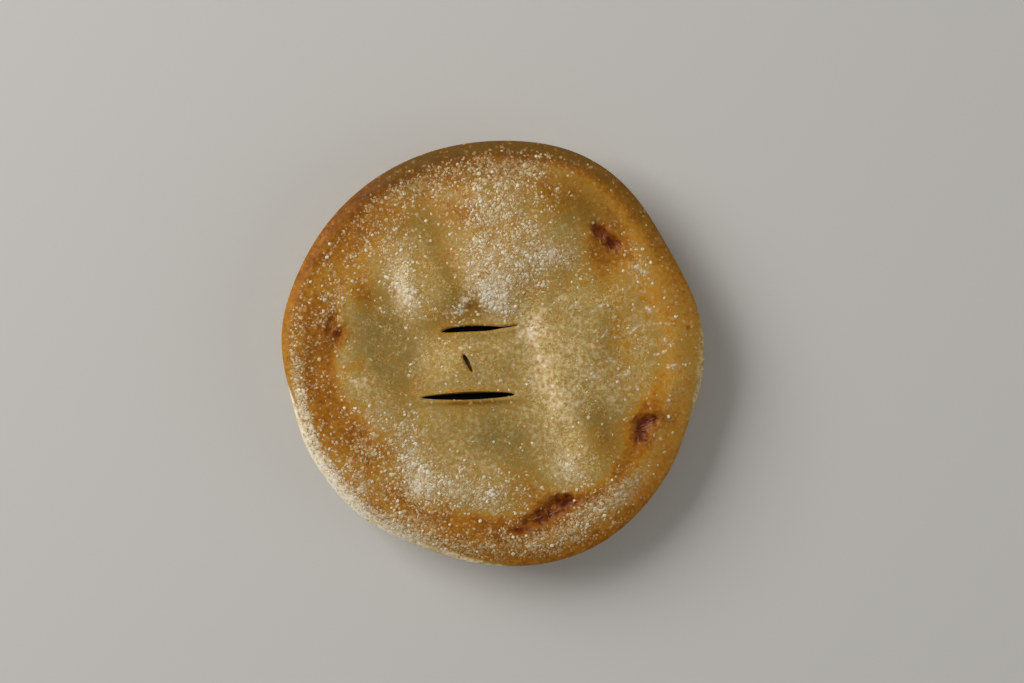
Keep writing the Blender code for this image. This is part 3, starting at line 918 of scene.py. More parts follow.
# %% How far the lid, the rim and the side are baked
LID_BAKE = 0.31
BAND_BAKE = 0.50
BAND_REACH = (32.0, 15.0)
EDGE_REACH = (13.0, 4.5)
EDGE_BAKE = 0.57
# bearing, half width, how much browner the edge is there
EDGE_WAVES = ((108, 46, 0.3), (300, 30, 0.08), (55, 30, 0.12), (355, 24, -0.1))
# where the browned top ends and the pale side begins: bearing, half width, how far in
PALE_LINE = -2.5
PALE_SIDES = ((220, 33, 8.0), (357, 16, 6.5), (262, 16, 4.2), (95, 60, -2.5))
PALE_SOFTNESS = 0.9
# how far the line sways, and the size of the sway
PALE_LINE_SWAY = ((0.7, 6.0), (0.35, 2.2))
WALL_BAKE = 0.22
# how far below the widest line the wall starts to brown, and where it is as brown as the foot
WALL_BROWNS = (10, 30)
# where the side is palest: bearing, half width, how much paler
PALEST_SIDE = (220, 46, 0.22)
FOOT_BAKE = 0.55
# the pale dry crest of the rim: bearing, half width, distance inside the edge, breadth
PALE_CREST = (320, 40, 13.6, 3.4)
PALE_CREST_BAKE = -0.1
# painted shade in the trough inside the crest, put in as browner bake, and how much broader it is
TROUGH_INSIDE = 22.5
TROUGH_PAINTED_SHADE = 0.14
TROUGH_SPREAD = 1.3
MOST_BAKE = 0.68

# %% Where the lid is browner or paler, with painted shade on shaded slopes
# x, y, reach along a bearing, reach across it, the bearing, how much browner; the patches named painted
# shade are the shade of the swells beside them, painted in as browner bake
BAKE_AND_PAINTED_SHADE_PATCHES = {
    "bare patch north of the dome": (34, 79, 20, 10, -24, 0.24),
    "northern side of the dome": (-16, 72, 20, 8, -10, 0.17),
    "inside the north north west rim": (-30, 93, 6, 5, 0, 0.14),
    "north west of the west hollow": (-69, 31, 5, 9, 0, 0.12),
    "south of the west knob": (-54, -48, 6, 6, 0, 0.1),
    "west knob": (-70, -16, 7, 6, 0, -0.1),
    "south rim": (8, -93, 7, 5, 0, 0.14),
    "south south west rim": (-15, -94, 6, 4, 0, 0.12),
    "south east part of the shelf": (-22, -79, 6, 4, 0, 0.12),
    "corner of the shelf": (-46, -71, 5, 4, 0, 0.12),
    "north west of the dome": (-46, 68, 7, 7, 0, 0.14),
    "west of the valley": (-38, 46, 5, 7, 0, 0.12),
    "east of the north west apple": (-38, 26, 5, 7, 0, 0.08),
    "west of the north west apple": (-54, 30, 5, 6, 0, 0.1),
    "under the north east tear": (56, 54, 7, 5, 0, 0.2),
    "beside the north east tear": (62, 62, 13, 9, -55, 0.10),
    "painted shade east of the dome": (56, 46, 14, 9, -68, 0.27),
    "valley beside the dome": (-23, 46, 30, 6.5, -67, 0.2),
    "above the dome": (14, 90, 16, 8, -8, -0.1),
    "pit above the upper slit, partly painted shade": (-10, 24, 5, 4.2, 30, 0.32),
    "upper end of the ridge": (24, -0.5, 4, 4, 0, 0.07),
    "bulge of the ridge": (33, -16, 4, 4, 0, 0.06),
    "west knob's shoulder": (-69, -8, 5, 5, 0, 0.1),
    "west south west edge": (-94, -16, 6, 4, 90, 0.1),
    "north north west edge": (-10, 102, 8, 3, 0, 0.08),
    "inside the south rim": (-7, -86, 4, 4, 0, 0.12),
    "dome": (2, 64, 26, 22, 90, 0.05),
    "by the steam hole": (-15, -9, 5, 4, 0, 0.16),
    "west end of the upper slit": (-24, 15, 11, 8, 0, 0.2),
    "north rim": (-8, 98, 36, 9, 2, 0.2),
    "north west slope": (-66, 56, 22, 12, 50, 0.13),
    "north west rim": (-76, 68, 34, 9, 48, 0.16),
    "west north west rim": (-97, 36, 20, 8, 70, -0.04),
    "west side": (-88, 0, 26, 9, 92, 0.32),
    "west north west edge": (-94, 15, 9, 4, 90, 0.18),
    "north west corner of the dome": (-18, 74, 8, 7, 0, 0.1),
    "north of the north west lump": (-28, 79, 9, 6, 10, 0.05),
    "west of the knob": (-69, -5, 6, 7, 0, 0.12),
    "west south west side": (-80, -38, 12, 8, 110, 0.12),
    "south west slope": (-68, -42, 28, 10, -55, 0.3),
    "south side": (-14, -87, 28, 6, -6, 0.22),
    "south west corner of the shelf": (-44, -76, 9, 6, -40, 0.1),
    "east end of the south shelf": (12, -70, 10, 8, -60, 0.1),
    "by the south tear": (22, -84, 28, 8, 22, 0.10),
    "amber by the eastern rim": (84, 31, 16, 9, 110, 0.04),
    "inside the amber": (66, 20, 16, 8, 95, 0.06),
    "west hollow": (-50, -8, 22, 9, 100, 0.09),
    "north of the east tear": (66, -22, 14, 9, -70, -0.07),
    "below the south tear": (34, -88, 20, 5, 24, 0.08),
    "by the east tear": (76, -36, 14, 11, 60, 0.17),
    "east hollow": (64, 6, 18, 7, 100, 0.14),
    "painted shade in the arc under the dome": (28, 35, 22, 5, 22, 0.12),
    "painted shade south east of the ridge": (57, -46, 18, 9, -62, 0.20),
    "south of the south hollow": (17, -62, 12, 7, -60, 0.16),
    "below the lower slit": (-12, -28, 22, 4, 2, 0.12),
    "neck of the west hollow": (-65, 29, 13, 7, -60, 0.24),
    "west of the middle block": (-42, -16, 12, 8, 40, 0.12),
    "northern lip of the lower slit": (-11, -19.2, 20, 1.6, 2, 0.22),
    "southern lip of the lower slit": (-11, -25.4, 19, 1.2, 2, 0.34),
    "ridge": (27, -12, 32, 8, -79, -0.14),
    "bend of the ridge": (40, -28, 9, 5, -80, -0.1),
    "western edge": (-102, -6, 16, 4, 90, -0.1),
    "head of the ridge": (18, 16, 9, 6, -85, -0.12),
    "flank of the ridge": (43, -8, 28, 5, -82, -0.07),
    "foot of the ridge": (41, -58, 12, 8, -75, -0.10),
    "south shelf": (-14, -69, 26, 9, -4, -0.05),
    "south west shelf": (-38, -50, 20, 9, -65, -0.04),
    "north west apple": (-46, 33, 14, 8, -65, -0.14),
    "foot of the dome": (1, 30, 9, 7, 0, -0.14),
    "by the eastern sugar": (76, 46, 12, 5, -60, -0.12),
}
# small browned blisters: x, y, radius
BLISTERS = (
    (78.3, 28.1, 1.8),
    (79.5, 18.9, 1.2),
    (76.0, 13.0, 1.0),
    (101.0, 13.0, 1.3),
    (58.5, 70.5, 1.6),
    (62.5, 66.0, 1.2),
    (69.5, 57.0, 1.5),
    (72.0, 48.5, 1.3),
    (-11.0, -75.0, 1.6),
    (5.0, -86.0, 2.2),
    (9.0, -99.0, 2.6),
    (-79.0, -41.0, 2.2),
)
BLISTER_BAKE = 0.2
CREASE_BAKE = 0.2
LIP_BAKE = 0.08
LIP_REACH = 1.3
# the share of it that is there all along, how much that changes, and over what length
LIP_CHANGES = (0.6, 0.8, 4.0)

# %% Boiled juice
# how much browner the pastry is round a torn spot, and how far out
TEAR_HALO = 0.36
HALO_REACH = 2.0
# how far past the brownest bake it may go right by a torn spot, and how far out
HALO_MORE = 0.12
HALO_MORE_REACH = 1.6
# how dark the juice at each torn spot has boiled
TEAR_STRENGTH = {"north east tear": 1.0, "east tear": 1.0, "south tear": 0.95, "west tear": 0.6}
JUICE_REACH = 1.25
# how much of the juice a bubble of whole pastry hides
BUBBLE_HIDES = 0.85
FLAP_REACH = 1.6
# where syrup has run over the edge of a torn spot: x, y, reach, reach across, bearing, how thickly
SYRUP_RUNS = {
    "south side of the south tear": (34, -82, 9, 2.6, 18, 0.75),
    "west end of the south tear": (17, -87.6, 6, 2.6, 25, 0.6),
    "north side of the south tear": (28, -79.5, 10, 3, 22, 0.8),
}

# %% Dry, soaked and amber pastry, with painted light and shade
# pastry that stands up is paler, partly dry flour and partly painted light: how much, and between which
# rises of its swell
SWELL_DRIES_AND_PAINTED_LIGHT = 0.35
DRY_RISE = (0.4, 3.6)
# pastry in a hollow is olive and darker, partly soaked and partly painted shade: how much, and between
# which drops
HOLLOW_SOAK_AND_PAINTED_SHADE = 0.55
SOAKED_DROP = (0.0, 2.6)
# where it stands up and is pale and floury; on the lit flanks of the ridge this is partly painted light
DRY_AND_PAINTED_LIGHT_PATCHES = {
    "head of the ridge": (19, 12, 14, 6, -85, 0.9),
    "middle of the ridge": (25.5, -15, 20, 7, -80, 1.0),
    "flank of the ridge": (43, -8, 28, 5, -82, 0.5),
    "ridge above its foot": (37, -31, 14, 7, -75, 0.9),
    "foot of the ridge": (41, -55, 14, 9, -72, 1.0),
    "middle block": (-14, -5, 18, 12, 0, 0.35),
    "west of the slits": (-31, -3, 10, 10, 90, 0.8),
    "west knob": (-71, -16, 11, 8, -45, 0.9),
    "neck of the west hollow": (-58, 22, 9, 6, -40, 0.5),
    "east swell": (60, 18, 26, 13, 95, 0.45),
    "eastern rim": (84, -2, 24, 8, 95, 0.6),
    "south east crest": (54, -77, 24, 4, 38, 0.7),
    "by the eastern sugar": (75, 46, 12, 4, -62, 0.8),
}
# olive brown where juice has soaked the pastry from below, and painted shade on the shaded slopes east of
# the dome and of the ridge, in the pit and under the dome's foot
SOAKED_AND_PAINTED_SHADE_PATCHES = {
    "west hollow": (-51, -6, 28, 11, 98, 1.1),
    "west end of the upper slit": (-22, 17, 9, 6, 0, 0.5),
    "inside the north rim": (10, 92, 24, 8, -6, 0.35),
    "south of the north west apple": (-40, 12, 9, 6, 0, 0.3),
    "painted shade on the east side of the ridge": (50, -26, 22, 6, -72, 0.35),
    "south hollow": (2, -44, 22, 12, 0, 0.4),
    "bare patch north of the dome": (46, 75, 20, 12, -36, 0.9),
    "painted shade east of the dome": (56, 46, 14, 8, -68, 0.35),
    "painted shade south east of the ridge": (60, -44, 16, 8, -68, 0.6),
    "valley beside the dome": (-23, 42, 28, 7, -67, 0.85),
    "painted shade and soak under the foot of the dome": (-13, 26, 8, 6, 45, 1.0),
    "pit above the upper slit, partly painted shade": (-9, 23.5, 5, 4.5, 0, 1.0),
    "top of the north west lump": (-50, 64, 10, 7, 0, 0.35),
    "southern lip of the lower slit": (-11, -25.4, 19, 1.4, 2, 1.2),
    "north west lump": (-34, 69, 20, 8, 8, 0.35),
    "inside the northern rim": (-12, 94, 40, 7, 5, 0.4),
    "inside the north north west rim": (-42, 86, 12, 6, 30, 0.4),
    "east of the south shelf": (16, -63, 16, 12, -60, 0.55),
}
# pastry that has kept a bright smooth amber
AMBER_PATCHES = {
    "inside the north east rim": (79, 36, 22, 9, 115, 0.9),
    "beside the crease": (72, 56, 10, 6, 120, 0.5),
    "inside the eastern rim": (94, -12, 30, 6, 90, 0.8),
    "inside the south east rim": (84, -52, 14, 7, 62, 0.5),
    "south east crest": (74, -69, 14, 5, 45, 0.9),
    "east swell": (68, 22, 16, 9, 95, 0.4),
    "north of the east tear": (73, -14, 12, 8, 90, 0.4),
    "north west slope": (-66, 50, 20, 10, 55, 0.5),
    "south west slope": (-81, -42, 12, 8, 110, 0.45),
}
# painted shade and greyish sheen on the outer slope of the northern rim, laid on through the soak mask:
# bearing, half width, how strong, how far in
PAINTED_SHEEN_RIM = (75, 52, 0.8, 10.0)
# the painted shade and sheen are at their strongest up to this share of the way in
PAINTED_SHEEN_FADE = 0.4


# %% How brown the top is, with painted shade
def edge_bake(bearing):
    """How brown the outermost edge is at a bearing."""
    return waves_at(EDGE_BAKE, EDGE_WAVES, bearing)


def pale_line(bearing):
    """How far inside the edge the pale side reaches; below 0 it starts under the edge."""
    return waves_at(PALE_LINE, PALE_SIDES, bearing)


def top_bake_and_painted_shade(x, y, inside, bearing):
    """How brown the top is, at a distance inside the outline, with painted shade in some patches and in the
    trough.
    """
    bake_and_painted_shade = LID_BAKE + (BAND_BAKE - LID_BAKE) * smooth_step(*BAND_REACH, inside)
    bake_and_painted_shade = bake_and_painted_shade + (edge_bake(bearing) - BAND_BAKE) * smooth_step(*EDGE_REACH, inside)
    # some of these patches are painted shade on the shaded sides of swells
    bake_and_painted_shade = bake_and_painted_shade + patches_at(BAKE_AND_PAINTED_SHADE_PATCHES, x, y)
    near = np.min([np.maximum(tear_distance(tear, x, y), 0) for tear in TORN_SPOTS.values()], axis=0)
    bake_and_painted_shade = bake_and_painted_shade + TEAR_HALO * bell(near, HALO_REACH)
    for blister in BLISTERS:
        bake_and_painted_shade = bake_and_painted_shade + BLISTER_BAKE * spot_at(x, y, *blister)
    bake_and_painted_shade = bake_and_painted_shade + CREASE_BAKE * crease_mask(x, y)
    at, half_width, crest_inside, breadth = PALE_CREST
    along = bell(turned(bearing, at), half_width, 4)
    bake_and_painted_shade = bake_and_painted_shade + PALE_CREST_BAKE * along * bell(inside - crest_inside, breadth)
    # painted shade in the trough between the crest and the lid
    bake_and_painted_shade = bake_and_painted_shade + TROUGH_PAINTED_SHADE * along * bell(inside - TROUGH_INSIDE, TROUGH_SPREAD * breadth)
    most = MOST_BAKE + np.maximum(edge_bake(bearing) - MOST_BAKE, 0) * smooth_step(*EDGE_REACH, inside)
    return np.minimum(bake_and_painted_shade, most + HALO_MORE * bell(near, HALO_MORE_REACH))


# %% Top, sides and depth in the cuts
# points this little under the widest line still belong to the top
TOP_SLACK = 0.05
# a point this far under the lid is on the wall of a cut, and sugar lies above the second
WALL_UNDER_LID = 0.3
SUGAR_ABOVE = 0.1

points = get_points(crust.data) / MM
x, y, z = points.T
radius, bearing = polar(x, y)
inside = rim_radius(bearing) - radius
is_top = z >= WIDEST_HEIGHT - TOP_SLACK
swell = np.sum([swell_rise(one, x, y) for one in SWELLS.values()], axis=0)
near_cut = np.min([outside_cut(cut, x, y) for cut in CUTS.values()], axis=0)
surface = lid_height(x, y) + cut_relief(x, y) + fine_relief(x, y, z)
depth = np.where(near_cut < FINE_CUT, np.maximum(surface - z - WALL_UNDER_LID, 0), 0)
open_top = is_top & (depth < SUGAR_ABOVE)
print(int(open_top.sum()), "of", len(x), "vertices are on the open top")

# %% How brown each place is, with painted shade
below = np.maximum(WIDEST_HEIGHT - z, 0)
run = np.where(is_top, inside, -below)
line = pale_line(bearing)
for sway, sway_size in PALE_LINE_SWAY:
    line = line + sway * noise_at(x, y, z, sway_size)
browned = smooth_step(-PALE_SOFTNESS, PALE_SOFTNESS, run - line)
wall_bake = WALL_BAKE + (FOOT_BAKE - WALL_BAKE) * smooth_step(*WALL_BROWNS, below)
at, half_width, paler = PALEST_SIDE
wall_bake -= paler * bell(turned(bearing, at), half_width) * (below < WALL_BROWNS[0])
top = top_bake_and_painted_shade(x, y, np.where(is_top, inside, 0), bearing)
least, change, change_size = LIP_CHANGES
top = top + LIP_BAKE * bell(near_cut, LIP_REACH) * (least + change * noise_at(x, y, 0, change_size))
bake_and_painted_shade = wall_bake + (top - wall_bake) * browned

# %% Sugar and its white film
sugar = np.where(open_top, fine_sugar(x, y, inside, bearing), 0)
at, half_width, distance, breadth, amount = FILM_BANK
film = amount * np.exp(-(turned(bearing, at) / half_width) ** 4 - ((inside - distance) / breadth) ** 2)
film = film + STREAK_FILM * streak_mask(x, y)
film = np.clip(film + patches_at(SUGAR_FILM, x, y), 0, 1) * (1 - pit_mask(x, y))
film = film * open_top

# %% Boiled, dry and soaked places, with painted light and shade
tear_distances = {name: np.maximum(tear_distance(tear, x, y), 0) for name, tear in TORN_SPOTS.items()}
near_tear = np.min(list(tear_distances.values()), axis=0)
tear_mask = np.zeros(len(x))
for tear_name, distance in tear_distances.items():
    tear_mask = np.maximum(tear_mask, TEAR_STRENGTH[tear_name] * bell(distance, JUICE_REACH))
tear_mask = np.maximum(tear_mask, patches_at(SYRUP_RUNS, x, y))
tear_mask *= 1 - BUBBLE_HIDES * bubble_mask(x, y)

# pastry that stands up is paler, partly dry flour and partly painted light, and pastry in a hollow turns
# olive, partly soaked and partly painted shade
flour_and_painted_light = np.clip(SWELL_DRIES_AND_PAINTED_LIGHT * smooth_step(*DRY_RISE, swell) + patches_at(DRY_AND_PAINTED_LIGHT_PATCHES, x, y), 0, 1)
soak_and_painted_shade = smooth_step(*SOAKED_DROP, -swell) * HOLLOW_SOAK_AND_PAINTED_SHADE + patches_at(SOAKED_AND_PAINTED_SHADE_PATCHES, x, y)
# painted shade and sheen on the northern rim's outer slope
at, half_width, painted_sheen_strength, reach = PAINTED_SHEEN_RIM
dull = painted_sheen_strength * bell(turned(bearing, at), half_width, 4)
soak_and_painted_shade = np.clip(soak_and_painted_shade + dull * (1 - smooth_step(PAINTED_SHEEN_FADE * reach, reach, inside)), 0, 1)


# %% Write the masks into the crust
def add_mask(mesh, name, values):
    """Keeps one number for each vertex in the mesh."""
    attribute = mesh.attributes.new(name, "FLOAT", "POINT")
    attribute.data.foreach_set("value", values.astype(np.float32))


masks = {
    "bake_and_painted_shade": bake_and_painted_shade,
    "sugar": sugar,
    "film": film,
    "depth": depth,
    "tear": tear_mask * is_top,
    "amber": np.clip(patches_at(AMBER_PATCHES, x, y), 0, 1) * is_top,
    "flour_and_painted_light": flour_and_painted_light * is_top,
    "soak_and_painted_shade": soak_and_painted_shade * is_top,
    "flap_highlight": flap_highlight_mask(x, y) * bell(near_tear, FLAP_REACH, 4) * is_top,
}
for mask_name, values in masks.items():
    add_mask(crust.data, mask_name, values)
    print(mask_name, "from", round(float(values.min()), 2), "to", round(float(values.max()), 2))

# %% [markdown]
# ## Crust material
#
# The colour of baked pastry runs along one path: cream where it was covered, straw,
# golden, amber, chestnut and nearly black where juice has burnt. So one ramp holds the
# colours, and the bake mask with some noise chooses the place on it. That mask also
# holds painted shade, so shaded slopes sit darker on the ramp. Fine noise breaks
# the colour up as flour and fat do, and the sugar mask frosts it.

# %% Node helpers
def add_node(tree, kind, **values):
    """A node with its properties and the values of its inputs set by name."""
    node = tree.nodes.new(kind)
    for key, value in values.items():
        if hasattr(node, key):
            setattr(node, key, value)
        else:
            node.inputs[key.replace("_", " ")].default_value = value
    return node


def link(tree, source, target):
    tree.links.new(source, target)


def rise(tree, value, low, high):
    """0 below one value, 1 above another, and smooth between."""
    node = add_node(tree, "ShaderNodeMapRange", interpolation_type="SMOOTHSTEP")
    node.inputs["From Min"].default_value = low
    node.inputs["From Max"].default_value = high
    link(tree, value, node.inputs["Value"])
    return node.outputs["Result"]


# %% Sums with nodes
def math_node(tree, operation, first, second, clamp=False):
    """A Math node whose inputs are sockets or plain numbers."""
    node = tree.nodes.new("ShaderNodeMath")
    node.operation = operation
    node.use_clamp = clamp
    for socket, value in zip(node.inputs, (first, second)):
        if isinstance(value, (int, float)):
            socket.default_value = value
        else:
            link(tree, value, socket)
    return node.outputs[0]


def times(tree, first, second):
    return math_node(tree, "MULTIPLY", first, second)


def plus(tree, first, second, clamp=False):
    return math_node(tree, "ADD", first, second, clamp)


def minus(tree, first, second, clamp=False):
    return math_node(tree, "SUBTRACT", first, second, clamp)


def opposite(tree, value):
    """1 where a value is 0, and 0 where it is 1."""
    return minus(tree, 1.0, value)


def up_and_down(tree, value, strength):
    """A value from 0 to 1 turned into a change upwards or downwards."""
    return times(tree, minus(tree, value, 0.5), strength)


# %% Colours with nodes
def linear(red, green, blue):
    """A colour given as 0 to 255 on the screen, as linear light."""
    def one(value):
        share = value / 255
        return share / 12.92 if share <= 0.04045 else ((share + 0.055) / 1.055) ** 2.4

    return one(red), one(green), one(blue)


def mix_color(tree, factor, first, second):
    """A colour Mix node whose inputs are sockets, numbers or colours."""
    node = tree.nodes.new("ShaderNodeMix")
    node.data_type = "RGBA"
    for socket, value in zip((node.inputs[0], node.inputs[6], node.inputs[7]), (factor, first, second)):
        if isinstance(value, (int, float)):
            socket.default_value = value
        elif isinstance(value, tuple):
            socket.default_value = (*value, 1)
        else:
            link(tree, value, socket)
    return node.outputs[2]


def ramp_color(tree, value, stops):
    """The colour at a value's place on a ramp of (place, colour) pairs."""
    node = tree.nodes.new("ShaderNodeValToRGB")
    ramp = node.color_ramp
    while len(ramp.elements) > 1:
        ramp.elements.remove(ramp.elements[-1])
    for number, (place, color) in enumerate(stops):
        element = ramp.elements[0] if number == 0 else ramp.elements.new(place)
        element.position = place
        element.color = (*color, 1)
    link(tree, value, node.inputs[0])
    return node.outputs[0]


# %% A group for mottling, used by the crust and the sugar
MOTTLE_ROUGHNESS = 0.62
# the default scale and the detail of each size of mottling
MOTTLE_SIZES = {"Broad": (200.0, 5.0), "Fine": (900.0, 4.0)}


def make_mottle_group():
    """Two sizes of noise on Object coordinates, put out as values from 0 to 1."""
    group = bpy.data.node_groups.new("mottle", "ShaderNodeTree")
    for name, (scale, _) in MOTTLE_SIZES.items():
        socket = group.interface.new_socket(name + " Scale", in_out="INPUT", socket_type="NodeSocketFloat")
        socket.default_value = scale
    for name in MOTTLE_SIZES:
        group.interface.new_socket(name, in_out="OUTPUT", socket_type="NodeSocketFloat")
    entry = group.nodes.new("NodeGroupInput")
    leave = group.nodes.new("NodeGroupOutput")
    where = group.nodes.new("ShaderNodeTexCoord")
    for name, (_, detail) in MOTTLE_SIZES.items():
        cloud = add_node(group, "ShaderNodeTexNoise", Detail=detail, Roughness=MOTTLE_ROUGHNESS)
        link(group, where.outputs["Object"], cloud.inputs["Vector"])
        link(group, entry.outputs[name + " Scale"], cloud.inputs["Scale"])
        link(group, cloud.outputs["Fac"], leave.inputs[name])
    return group


MOTTLE = make_mottle_group()


def add_mottle(tree, broad, fine):
    node = tree.nodes.new("ShaderNodeGroup")
    node.node_tree = MOTTLE
    node.inputs["Broad Scale"].default_value = broad
    node.inputs["Fine Scale"].default_value = fine
    return node


# %% Noise and cells on the piece's own coordinates
def add_noise(tree, scale, detail, distortion=0.0, roughness=0.5, output="Fac"):
    where = tree.nodes.new("ShaderNodeTexCoord")
    cloud = add_node(tree, "ShaderNodeTexNoise", Scale=scale, Detail=detail)
    cloud.inputs["Distortion"].default_value = distortion
    cloud.inputs["Roughness"].default_value = roughness
    link(tree, where.outputs["Object"], cloud.inputs["Vector"])
    return cloud.outputs[output]


def add_cells(tree, scale, place):
    """Distance from the middle of each Voronoi cell, and two random numbers for each cell."""
    cells = add_node(tree, "ShaderNodeTexVoronoi", Scale=scale)
    link(tree, place, cells.inputs["Vector"])
    parts = tree.nodes.new("ShaderNodeSeparateColor")
    link(tree, cells.outputs["Color"], parts.inputs[0])
    return cells.outputs["Distance"], parts.outputs[0], parts.outputs[1]


# %% Patterns of the crust alone
WORM_SCALE = 450.0
WORM_SWAY = 0.7
# how far from the middle of the noise a line begins and ends
WORM_BREADTH = (0.01, 0.06)
DOT_SCALE = 340.0
DOT_EDGE = (0.1, 0.36)
DOTS_LEFT_OUT = (0.35, 0.7)


def worm_lines(tree):
    """Thin winding lines, as cracked flour and melted sugar leave."""
    cloud = add_noise(tree, WORM_SCALE, 2.0, WORM_SWAY)
    off_middle = math_node(tree, "ABSOLUTE", minus(tree, cloud, 0.5), 0.0)
    return opposite(tree, rise(tree, off_middle, *WORM_BREADTH))


def toasted_dots(tree):
    """Small round spots where the surface has blistered and browned."""
    place = tree.nodes.new("ShaderNodeTexCoord").outputs["Object"]
    distance, chance, _ = add_cells(tree, DOT_SCALE, place)
    spot = opposite(tree, rise(tree, distance, *DOT_EDGE))
    return times(tree, spot, rise(tree, chance, *DOTS_LEFT_OUT))


# %% Melted clumps of sugar
# how far a clump's outline sways, as a share of its size, and how much finer the sway is
CLUMP_SWAY = 1.3
SWAY_FINENESS = 1.1
CLUMP_EDGE = (0.22, 0.6)
CLUMP_FILL = (0.86, 1.14)


def melted_clumps(tree, scale, cover):
    """Soft clumps of melted sugar that fill a share of the surface, and how pale each is."""
    place = tree.nodes.new("ShaderNodeTexCoord").outputs["Object"]
    shift = add_node(tree, "ShaderNodeVectorMath", operation="MULTIPLY_ADD")
    shift.inputs[1].default_value = [CLUMP_SWAY / scale] * 3
    link(tree, add_noise(tree, scale * SWAY_FINENESS, 2.0, output="Color"), shift.inputs[0])
    link(tree, place, shift.inputs[2])
    distance, chance, paleness = add_cells(tree, scale, shift.outputs[0])
    clump = opposite(tree, rise(tree, distance, *CLUMP_EDGE))
    here = rise(tree, plus(tree, chance, cover), *CLUMP_FILL)
    return times(tree, clump, here), paleness


# %% [markdown]
# ### The layers of the crust's finish
#
# Each function below adds one layer, from the dough up: the baked dough, dried flour
# and toasted dots, the white film of sugar, clumps of it, burnt syrup at the torn
# spots, and the inside of the cuts. A layer takes the colour so far and gives back the
# new colour, and the mask that the bump and the gloss need. It could be one long
# function, but small layers are easier to switch off and to compare with a real pie.

# %% Baked dough
BAKE_COLORS = (
    (0.00, linear(255, 244, 222)),
    (0.14, linear(226, 200, 150)),
    (0.30, linear(180, 150, 86)),
    (0.42, linear(174, 138, 62)),
    (0.54, linear(182, 128, 38)),
    (0.66, linear(164, 102, 18)),
    (0.78, linear(130, 74, 8)),
    (0.90, linear(92, 46, 6)),
    (1.00, linear(60, 26, 4)),
)
CRUST_MOTTLE = (130.0, 460.0)
BROAD_STRENGTH = 0.6
FINE_STRENGTH = 0.9
# mottling fades towards this bake, and where the pastry is palest
CALM_BAKE = 1.2
CALM_PALE = (-0.2, 0.3)
SUGAR_BROWNS = 0.12
OLIVE_COLOR = linear(156, 134, 74)
OLIVE_SCALE = 150.0
OLIVE_CLOUDS = (0.45, 0.68)
OLIVE_UP_TO = (0.36, 0.6)
OLIVE_FROM = (0.12, 0.26)
OLIVE_SHARE = 0.5
# olive brown of soaked pastry, also laid on as painted shade
SOAK_AND_PAINTED_SHADE_COLOR = linear(118, 96, 40)
SOAK_AND_PAINTED_SHADE_SHARE = 0.62
AMBER_COLOR = linear(214, 148, 48)
AMBER_SHARE = 0.45


def baked_dough(tree, masks, mottle):
    """The colour of bare dough that is baked, soaked or amber from place to place; the bake and soak masks
    also bring painted shade.
    """
    broad = up_and_down(tree, mottle.outputs["Broad"], BROAD_STRENGTH)
    fine = up_and_down(tree, mottle.outputs["Fine"], FINE_STRENGTH)
    calm = times(tree, minus(tree, CALM_BAKE, masks["bake_and_painted_shade"]), rise(tree, masks["bake_and_painted_shade"], *CALM_PALE))
    baked = plus(tree, masks["bake_and_painted_shade"], times(tree, plus(tree, broad, fine), calm))
    baked = plus(tree, baked, times(tree, masks["sugar"], SUGAR_BROWNS), clamp=True)
    olive = times(tree, rise(tree, add_noise(tree, OLIVE_SCALE, 5.0), *OLIVE_CLOUDS), OLIVE_SHARE)
    olive = times(tree, olive, opposite(tree, rise(tree, baked, *OLIVE_UP_TO)))
    olive = times(tree, olive, rise(tree, masks["bake_and_painted_shade"], *OLIVE_FROM))
    color = mix_color(tree, olive, ramp_color(tree, baked, BAKE_COLORS), OLIVE_COLOR)
    color = mix_color(tree, times(tree, masks["soak_and_painted_shade"], SOAK_AND_PAINTED_SHADE_SHARE), color, SOAK_AND_PAINTED_SHADE_COLOR)
    return mix_color(tree, times(tree, masks["amber"], AMBER_SHARE), color, AMBER_COLOR)


# %% Dried flour and toasted dots
FLOUR_COLOR = linear(226, 206, 146)
WORM_PARTS = (0.4, 0.6)
FLOUR_EVERYWHERE = 0.3
FLOUR_SHARE = 0.7
FLOUR_BURNS = (0.4, 0.6)
TOAST_COLOR = linear(176, 116, 42)
TOAST_SHARE = 0.8


def flour_layer(tree, masks, mottle, color):
    """Winding lines of dry flour, stronger where the flour mask also paints light, and small toasted dots.
    """
    lines = times(tree, worm_lines(tree), rise(tree, mottle.outputs["Broad"], *WORM_PARTS))
    dry = times(tree, lines, plus(tree, times(tree, masks["flour_and_painted_light"], FLOUR_SHARE), FLOUR_EVERYWHERE))
    dry = times(tree, dry, opposite(tree, rise(tree, masks["bake_and_painted_shade"], *FLOUR_BURNS)))
    color = mix_color(tree, dry, color, FLOUR_COLOR)
    return mix_color(tree, times(tree, toasted_dots(tree), TOAST_SHARE), color, TOAST_COLOR), dry


# %% The white film of sugar
FROST_COLOR = linear(210, 188, 148)
THICK_FROST_COLOR = linear(246, 237, 218)
FROST_SCALE = 620.0
FROST_SWAY = 0.2
FROST_ROUGHNESS = 0.7
FILM_FILLS = 0.1
FROST_SPECKS = (0.5, 0.68)
FILM_SHOWS = (0.03, 0.5)
FILM_THICK = (0.6, 1.0)
FROST_SHARE = 0.85


def frost_layer(tree, masks, color):
    """Fine melted sugar, in specks where the film is thin and white where it is thick."""
    film = masks["film"]
    specks = add_noise(tree, FROST_SCALE, 5.0, FROST_SWAY, FROST_ROUGHNESS)
    specks = plus(tree, specks, times(tree, film, FILM_FILLS))
    frost = times(tree, rise(tree, specks, *FROST_SPECKS), rise(tree, film, *FILM_SHOWS))
    white = mix_color(tree, rise(tree, film, *FILM_THICK), FROST_COLOR, THICK_FROST_COLOR)
    return mix_color(tree, times(tree, frost, FROST_SHARE), color, white), frost


